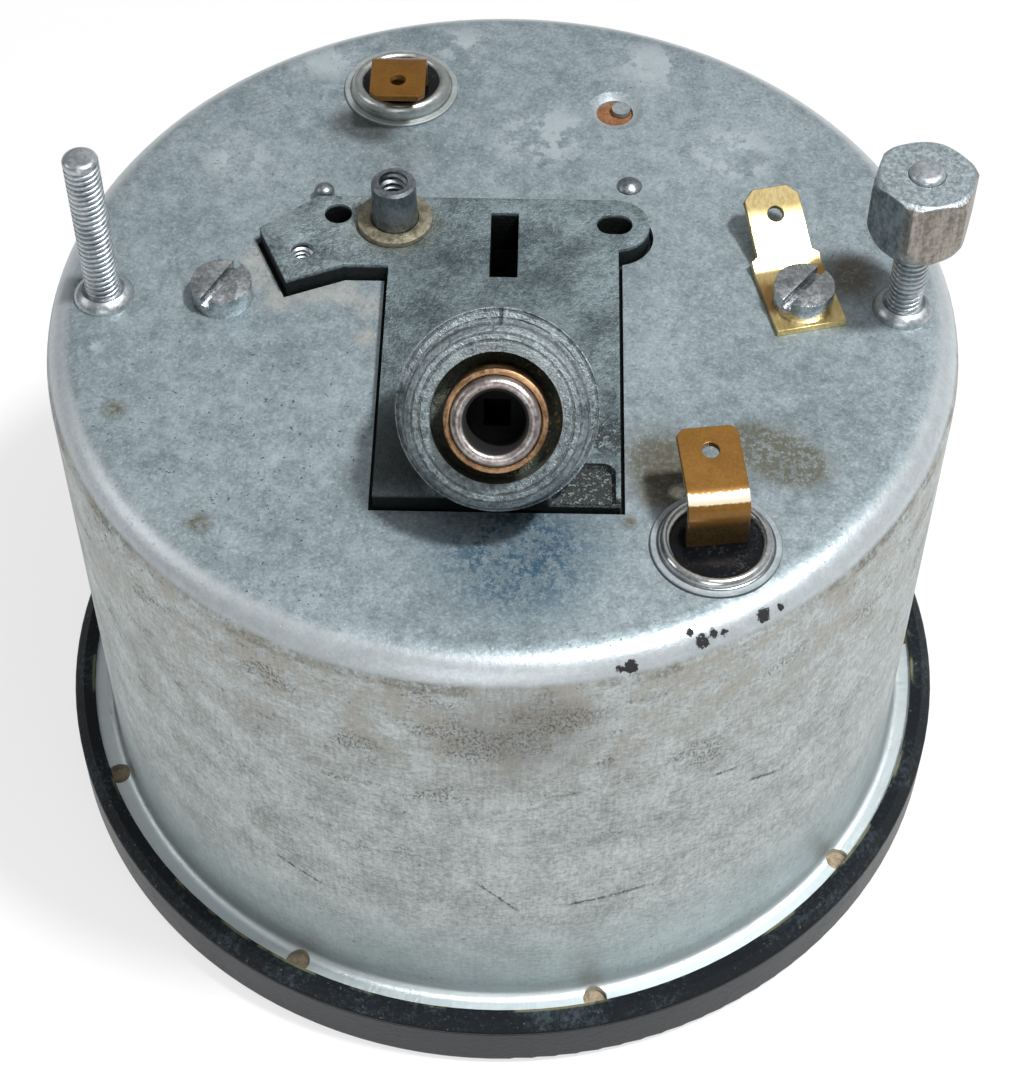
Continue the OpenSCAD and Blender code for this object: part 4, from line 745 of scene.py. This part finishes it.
def stripOutline(form, flat, arc, total):
    # corners of the strip laid flat: x across it, s along it
    half, tip = form["width"] / 2, form["tip"]
    wide, far = form.get("footWidth", form["width"]) / 2, form.get("footFar", 0.0)
    right = [(wide, -far)]
    if "footWidth" in form:
        neck = flat + arc + form["neck"]
        right += [(wide, neck), (half, neck + form["shoulder"])]
    right += [(half, total - tip), (half - tip, total)]
    return [(-wide, -far)] + right + [(-x, s) for x, s in reversed(right[1:])]


def blade(name, form, place, finish, replaced):
    # flat foot along +Y, a rounded bend through rise degrees, then an end with a hole; X is across, Z up
    angle, bend, thick = math.radians(form["rise"]), form["bend"], form["thick"]
    arc = bend * abs(angle)
    cut = bend * math.tan(abs(angle) / 2)
    flat = form["straight"] - cut
    total = flat + arc + (form["end"] - cut)

    def bent(x, s, h):
        # s along the strip, h above its middle
        turn = min(max(0.0, (s - flat) / bend), abs(angle))
        rest = max(0.0, s - flat - arc)
        y = min(s, flat) + bend * math.sin(turn) + rest * math.cos(turn) - h * math.sin(turn)
        z = bend * (1 - math.cos(turn)) + rest * math.sin(turn) + h * math.cos(turn)
        return Vector((x, y, z if angle > 0 else -z))

    outline = bmesh.new()
    rim = [outline.verts.new((x, s, 0)) for x, s in stripOutline(form, flat, arc, total)]
    middle = Vector((0, total - form["holeBack"], 0))
    hole = [outline.verts.new(middle + p) for p in circle(form["hole"], 0, strip["holePoints"])]
    edges = []
    for ring in (rim, hole):
        edges += [outline.edges.new((ring[i], ring[(i + 1) % len(ring)])) for i in range(len(ring))]
    bmesh.ops.triangle_fill(outline, edges=edges, use_beauty=True)
    cuts = [flat + arc * k / strip["bendCuts"] for k in range(strip["bendCuts"] + 1)]
    cuts += [flat * k / strip["flatCuts"] for k in range(1, strip["flatCuts"])]
    for s in cuts:
        whole = outline.verts[:] + outline.edges[:] + outline.faces[:]
        bmesh.ops.bisect_plane(outline, geom=whole, plane_co=(0, s, 0), plane_no=(0, 1, 0))
    faces = [[v.co.copy() for v in f.verts] for f in outline.faces]
    borders = [[v.co.copy() for v in e.verts] for e in outline.edges if len(e.link_faces) == 1]
    outline.free()
    mesh = bmesh.new()
    low, high = -thick / 2, thick / 2
    for face in faces:
        for h in (low, high):
            mesh.faces.new([mesh.verts.new(bent(p.x, p.y, h)) for p in face])
    for a, b in borders:
        corners = ((a, low), (b, low), (b, high), (a, high))
        mesh.faces.new([mesh.verts.new(bent(p.x, p.y, h)) for p, h in corners])
    bmesh.ops.remove_doubles(mesh, verts=mesh.verts, dist=1e-3)
    bmesh.ops.recalc_face_normals(mesh, faces=mesh.faces)
    roundEdges(mesh, strip["edge"], 55.0)
    mesh.transform(place)
    addPiece(name, mesh, "instrument", finish, replaced, 22.0)


for key, tab in lampTabs.items():
    form = {**lampTab, "straight": lampTab["root"] + tab["leg"] - lampTab["thick"] / 2,
            "rise": -(90 - tab["slope"]), "end": tab["end"]}
    foot = layout["backZ"] + tab["bead"] - lampTab["sunk"] - lampTab["root"]
    lift = Matrix.Rotation(math.radians(90), 4, "X")     # the foot runs straight up out of the insulator
    place = turnedAt((*tab["at"], foot), tab["turn"]) @ lift
    blade(key + "LampTab", form, place, "copperStrip", [key + "_lamp_tab"])
blade("earthBlade", earth, turnedAt((*earth["at"], layout["backZ"] + earth["thick"] / 2), earth["turn"]),
      "brassStrip", ["earth_terminal"])
print("blades made")


# Lamp holders: thin turned shells, with a brim and a rolled bead that closes over the insulator
shell = {
    "brim": 6.7, "brimTop": 0.4, "brimEdge": 0.12, "bead": 5.85, "beadFoot": 0.45, "groove": 0.1, "tube": 5.2,
    "bore": 4.8, "depth": 15.0, "lipDrop": 0.7, "boreDrop": 0.8, "points": 96, "arcSteps": 8,
    "upper": {"lip": 4.4, "crest": 5.0, "rise": 1.65, "lean": 0.07},
    "lower": {"lip": 4.62, "crest": 5.2, "rise": 1.25, "lean": 0.0},
}


def shellProfile(form):
    brim, top, edge, foot = shell["brim"], shell["brimTop"], shell["brimEdge"], shell["beadFoot"]
    crest, rise, drop = form["crest"], form["rise"], shell["lipDrop"]
    outer, inner = shell["bead"] - crest, crest - form["lip"]
    quarter = [math.pi / 2 * k / shell["arcSteps"] for k in range(shell["arcSteps"] + 1)]
    profile = [(shell["tube"], 0.0), (brim, 0.0), (brim, top - edge), (brim - edge, top),
               (shell["bead"] + shell["groove"], top)]
    profile += [(crest + outer * math.cos(a), foot + (rise - foot) * math.sin(a)) for a in quarter]
    profile += [(crest - inner * math.sin(a), rise - drop + drop * math.cos(a)) for a in quarter[1:]]
    profile += [(shell["bore"], rise - shell["boreDrop"]), (shell["bore"], -shell["depth"])]
    return profile + [(shell["tube"], -shell["depth"])]


mesh = bmesh.new()
for key, (x, y) in zip(("upper", "lower"), layout["lamps"]):
    first = len(mesh.verts)
    lathe(mesh, shellProfile(shell[key]), shell["points"], Matrix.Translation((x, y, layout["backZ"])))
    mesh.verts.ensure_lookup_table()
    for vert in mesh.verts[first:]:
        if vert.co.z > layout["backZ"] + shell["brimTop"] + 0.02:        # the bead leans to the near side
            vert.co.z -= shell[key]["lean"] * (vert.co.y - y)
addPiece("lampShells", mesh, "instrument", "lampChrome", ["lamp_sleeves"], 35.0)
print("lamp holders made")


# Drive shaft end: a rolled steel ferrule with a square drive hole inside
ferrule = {"outer": 4.45, "inner": 2.95, "square": 2.7, "depth": 8.0, "rollHeight": 0.75, "rollSteps": 14,
           "stem": 2.5, "stemLow": 4.6, "tubeLow": 11.2, "points": 96}
nose, roll = layout["noseT"], ferrule["rollHeight"]
middle, half = (ferrule["outer"] + ferrule["inner"]) / 2, (ferrule["outer"] - ferrule["inner"]) / 2
profile = [(ferrule["stem"], ferrule["stemLow"]), (ferrule["stem"], ferrule["tubeLow"]),
           (ferrule["outer"], ferrule["tubeLow"])]
for k in range(ferrule["rollSteps"] + 1):
    a = math.pi * k / ferrule["rollSteps"]
    profile.append((middle + half * math.cos(a), nose - roll + roll * math.sin(a)))
profile.append((ferrule["inner"], nose - ferrule["depth"]))
rows = [circle(r, z, ferrule["points"]) for r, z in profile]
for z in (nose - ferrule["depth"], nose - 2 * ferrule["depth"]):
    row = []
    for p in circle(1.0, 0, ferrule["points"]):
        k = ferrule["square"] / 2 / max(abs(p.x), abs(p.y))
        row.append(Vector((p.x * k, p.y * k, z)))
    rows.append(row)
mesh = bmesh.new()
addTube(mesh, rows)
mesh.transform(driveFrame)
addPiece("driveFerrule", mesh, "drive", "ferruleSteel", ["drive_shaft"], 35.0)
print("drive end made")


# Threads as helical ridges: in the reset stub, in the bracket's tapped hole and round the drive boss
threads = {
    "resetThread": {"body": "reset_stub", "place": Matrix.Translation((*layout["resetAt"], 0)),
                    "low": 73.1, "high": 79.1, "wall": 1.6, "rise": -0.32, "pitch": 0.8,
                    "finish": "stubSteel"},
    "bracketThread": {"body": "instrument", "place": Matrix.Translation((*layout["tappedAt"], 0)),
                      "low": 68.2, "high": 73.1, "wall": 1.25, "rise": -0.24, "pitch": 0.6,
                      "finish": "studSteel"},
    "bossThread": {"body": "instrument", "place": driveFrame, "low": 33.0, "high": 38.1, "wall": 9.0,
                   "rise": 0.32, "pitch": 1.0, "finish": "castZinc"},
}
ridge = {"perTurn": 48, "sunk": 0.02, "foot": 0.42, "crest": 0.1}


def threadRidge(name, body, place, low, high, wall, rise, pitch, finish):
    # wall is the radius it stands on; rise is outwards, and inwards where it is below zero
    perTurn, turns = ridge["perTurn"], (high - low) / pitch
    inner = wall - math.copysign(ridge["sunk"], rise)
    foot, flat = ridge["foot"] * pitch, ridge["crest"] * pitch
    rows = []
    for k in range(round(turns * perTurn) + 1):
        a = 2 * math.pi * k / perTurn
        z = low + pitch * k / perTurn
        crest = wall + rise * min(1.0, k / perTurn * 2, (turns * perTurn - k) / perTurn * 2 + 0.05)
        profile = ((inner, -foot), (inner, foot), (crest, flat), (crest, -flat))
        rows.append([place @ polar(r, a, z + h) for r, h in profile])
    mesh = bmesh.new()
    addTube(mesh, rows)
    addPiece(name, mesh, body, finish, (), 30.0)


for name, form in threads.items():
    threadRidge(name, **form)
print("threads made:", len(threads))


# Rounded copies of the solids that the photograph shows close up, with the width of the rounding
softened = {"movement_frame": 0.24, "frame_screws": 0.28, "case_rivets": 0.08, "lamp_insulators": 0.12,
            "drive_bush": 0.12, "reset_bush": 0.15}
for name, width in softened.items():
    refined(name, width)
print("rounded copies:", len(softened))


# Dial figures and ticks, and the digits round the counter drums
dialMarks = {"sweep": 250.0, "top": 140, "step": 20, "parts": 4, "tickOuter": 44.5, "figureRadius": 34.0,
             "figureSize": 7.0, "proud": 0.04,
             # length and half width of a tick
             "full": (6.0, 0.6), "middle": (4.2, 0.4), "small": (2.8, 0.25)}


def textMesh(text, size):
    curve = bpy.data.curves.new("figure", "FONT")
    curve.body, curve.size, curve.align_x, curve.align_y = text, size, "CENTER", "CENTER"
    curve.resolution_u = 4
    holder = bpy.data.objects.new("figure", curve)
    scene.collection.objects.link(holder)
    bpy.context.view_layer.update()
    data = bpy.data.meshes.new_from_object(holder.evaluated_get(bpy.context.evaluated_depsgraph_get()))
    bpy.data.objects.remove(holder)
    bpy.data.curves.remove(curve)
    return data


def addFlat(mesh, data, place):
    part = bmesh.new()
    part.from_mesh(data)
    found = {v: mesh.verts.new(place(v.co)) for v in part.verts}
    for face in part.faces:
        mesh.faces.new([found[v] for v in face.verts])
    part.free()
    bpy.data.meshes.remove(data)


mesh = bmesh.new()
faceZ = layout["dialZ"] - dialMarks["proud"]
parts, outer = dialMarks["parts"], dialMarks["tickOuter"]
count = dialMarks["top"] // dialMarks["step"] * parts
for i in range(count + 1):
    degrees = -dialMarks["sweep"] / 2 + dialMarks["sweep"] * i / count
    kind = "full" if i % parts == 0 else "middle" if i % 2 == 0 else "small"
    length, wide = dialMarks[kind]
    corners = [(-wide, outer - length), (wide, outer - length), (wide, outer), (-wide, outer)]
    place = turnedAt((0, 0, faceZ), degrees)
    mesh.faces.new([mesh.verts.new(place @ Vector((x, y, 0))) for x, y in corners])
    if kind == "full":
        turn = math.radians(degrees)
        centre = Vector((-math.sin(turn), math.cos(turn), 0)) * dialMarks["figureRadius"]
        addFlat(mesh, textMesh(str(i // parts * dialMarks["step"]), dialMarks["figureSize"]),
                lambda p, c=centre: Vector((c.x - p.x, c.y + p.y, faceZ)))
addPiece("dialFigures", mesh, "instrument", "whitePaint")

drums = {"radius": 6.0, "pitch": 3.6, "digit": 3.9, "proud": 0.03}


def drumDigits(name, body, x, y, sense):
    mesh = bmesh.new()
    radius = drums["radius"] + drums["proud"]
    for digit in range(10):
        centre = sense * digit * math.pi / 5

        def wrap(p, centre=centre):
            a = centre + p.y / drums["radius"]
            return Vector((x - p.x, y + radius * math.sin(a), layout["drumZ"] - radius * math.cos(a)))
        addFlat(mesh, textMesh(str(digit), drums["digit"]), wrap)
    addPiece(name, mesh, body, "whitePaint")


for i in range(5):
    body = "odometer_units" if i == 0 else f"odometer_ring_{i + 1}"
    drumDigits(f"odometerDigits{i + 1}", body, (i - 2) * drums["pitch"], layout["odometerY"], -1)
for i in range(3):
    body = "trip_units" if i == 0 else f"trip_ring_{i + 1}"
    drumDigits(f"tripDigits{i + 1}", body, (i - 1) * drums["pitch"], layout["tripY"], 1)
print("figures made")


# Stage: pale floor, soft light, camera
stage = {"floor": (0.9, 0.9, 0.9), "floorSize": 4.0, "floorDrop": 0.0002, "floorGlow": 0.72,
         "worldFill": 0.14}
white = (1.0, 1.0, 1.0, 1.0)


def rayKinds(tree, *kinds):
    # 1 where a ray is of one of those kinds
    path = Wire(tree).make("ShaderNodeLightPath").socket.node
    return sum(Wire(tree, path.outputs[f"Is {kind} Ray"]) for kind in kinds).capped()


mesh = bmesh.new()
bmesh.ops.create_grid(mesh, x_segments=1, y_segments=1, size=stage["floorSize"])
data = bpy.data.meshes.new("floor")
mesh.to_mesh(data)
mesh.free()
floor = bpy.data.objects.new("floor", data)
scene.collection.objects.link(floor)
floor.location.z = -stage["floorDrop"]
material = bpy.data.materials.new("paleFloor")
material.use_nodes = True
tree = material.node_tree
tree.nodes.clear()
start = Wire(tree)
seen = rayKinds(tree, "Camera", "Glossy", "Transmission")
paint = start.make("ShaderNodeBsdfDiffuse", None, {"Color": (*stage["floor"], 1.0)})
glow = start.make("ShaderNodeEmission", None, {"Color": white, "Strength": 1.0})
mixed = start.make("ShaderNodeMixShader", None, {0: stage["floorGlow"] * seen, 1: paint, 2: glow})
start.make("ShaderNodeOutputMaterial", None, {"Surface": mixed})
data.materials.append(material)

world = bpy.data.worlds.new("studio")
scene.world = world
world.use_nodes = True
tree = world.node_tree
tree.nodes.clear()
start = Wire(tree)
direct = rayKinds(tree, "Camera")
way = start.make("ShaderNodeTexCoord", out="Generated").parts()
# reflections see a sky that is brighter above and to the right
gloss = 0.28 + 0.14 * way[0] + 0.05 * way[1] + 0.18 * way[2]
level = stage["worldFill"] + rayKinds(tree, "Glossy", "Transmission") * (gloss - stage["worldFill"])
level = level + direct * (1.0 - level)
sky = start.make("ShaderNodeBackground", None, {"Color": white, "Strength": level})
start.make("ShaderNodeOutputWorld", None, {"Surface": sky})

lamps = {
    "keyLamp": {"at": (0.26, -0.09, 0.70), "aim": (0, 0, 0.06), "size": 0.08, "power": 5.4},
    "softLamp": {"at": (0.17, -0.20, 0.72), "aim": (0, 0, 0.06), "size": 0.34, "power": 1.1},
    "sideLamp": {"at": (-0.60, 0.00, 0.44), "aim": (0, 0, 0.06), "size": 0.30, "power": 0.5},
    "frontLamp": {"at": (-0.05, -0.62, 0.32), "aim": (0, 0, 0.04), "size": 0.35, "power": 0.7},
}
for name, form in lamps.items():
    lamp = bpy.data.lights.new(name, "AREA")
    lamp.shape, lamp.size, lamp.energy = "DISK", form["size"], form["power"]
    holder = bpy.data.objects.new(name, lamp)
    holder.location = form["at"]
    holder.rotation_euler = (Vector(form["aim"]) - Vector(form["at"])).to_track_quat("-Z", "Y").to_euler()
    scene.collection.objects.link(holder)

shot = {"at": (4.18, -185.95, 264.68), "aim": (1.00, -4.26, 35.0), "lens": 81.46, "roll": 0.2}
eye = bpy.data.cameras.new("camera")
eye.sensor_width, eye.lens, eye.clip_start, eye.clip_end = 36.0, shot["lens"], 0.01, 20.0
camera = bpy.data.objects.new("camera", eye)
scene.collection.objects.link(camera)
at, aim = Vector(shot["at"]) * mm, Vector(shot["aim"]) * mm
look = (aim - at).to_track_quat("-Z", "Y").to_matrix().to_4x4()
camera.matrix_world = Matrix.Translation(at) @ look @ Matrix.Rotation(math.radians(shot["roll"]), 4, "Z")
scene.camera = camera
print("stage set")
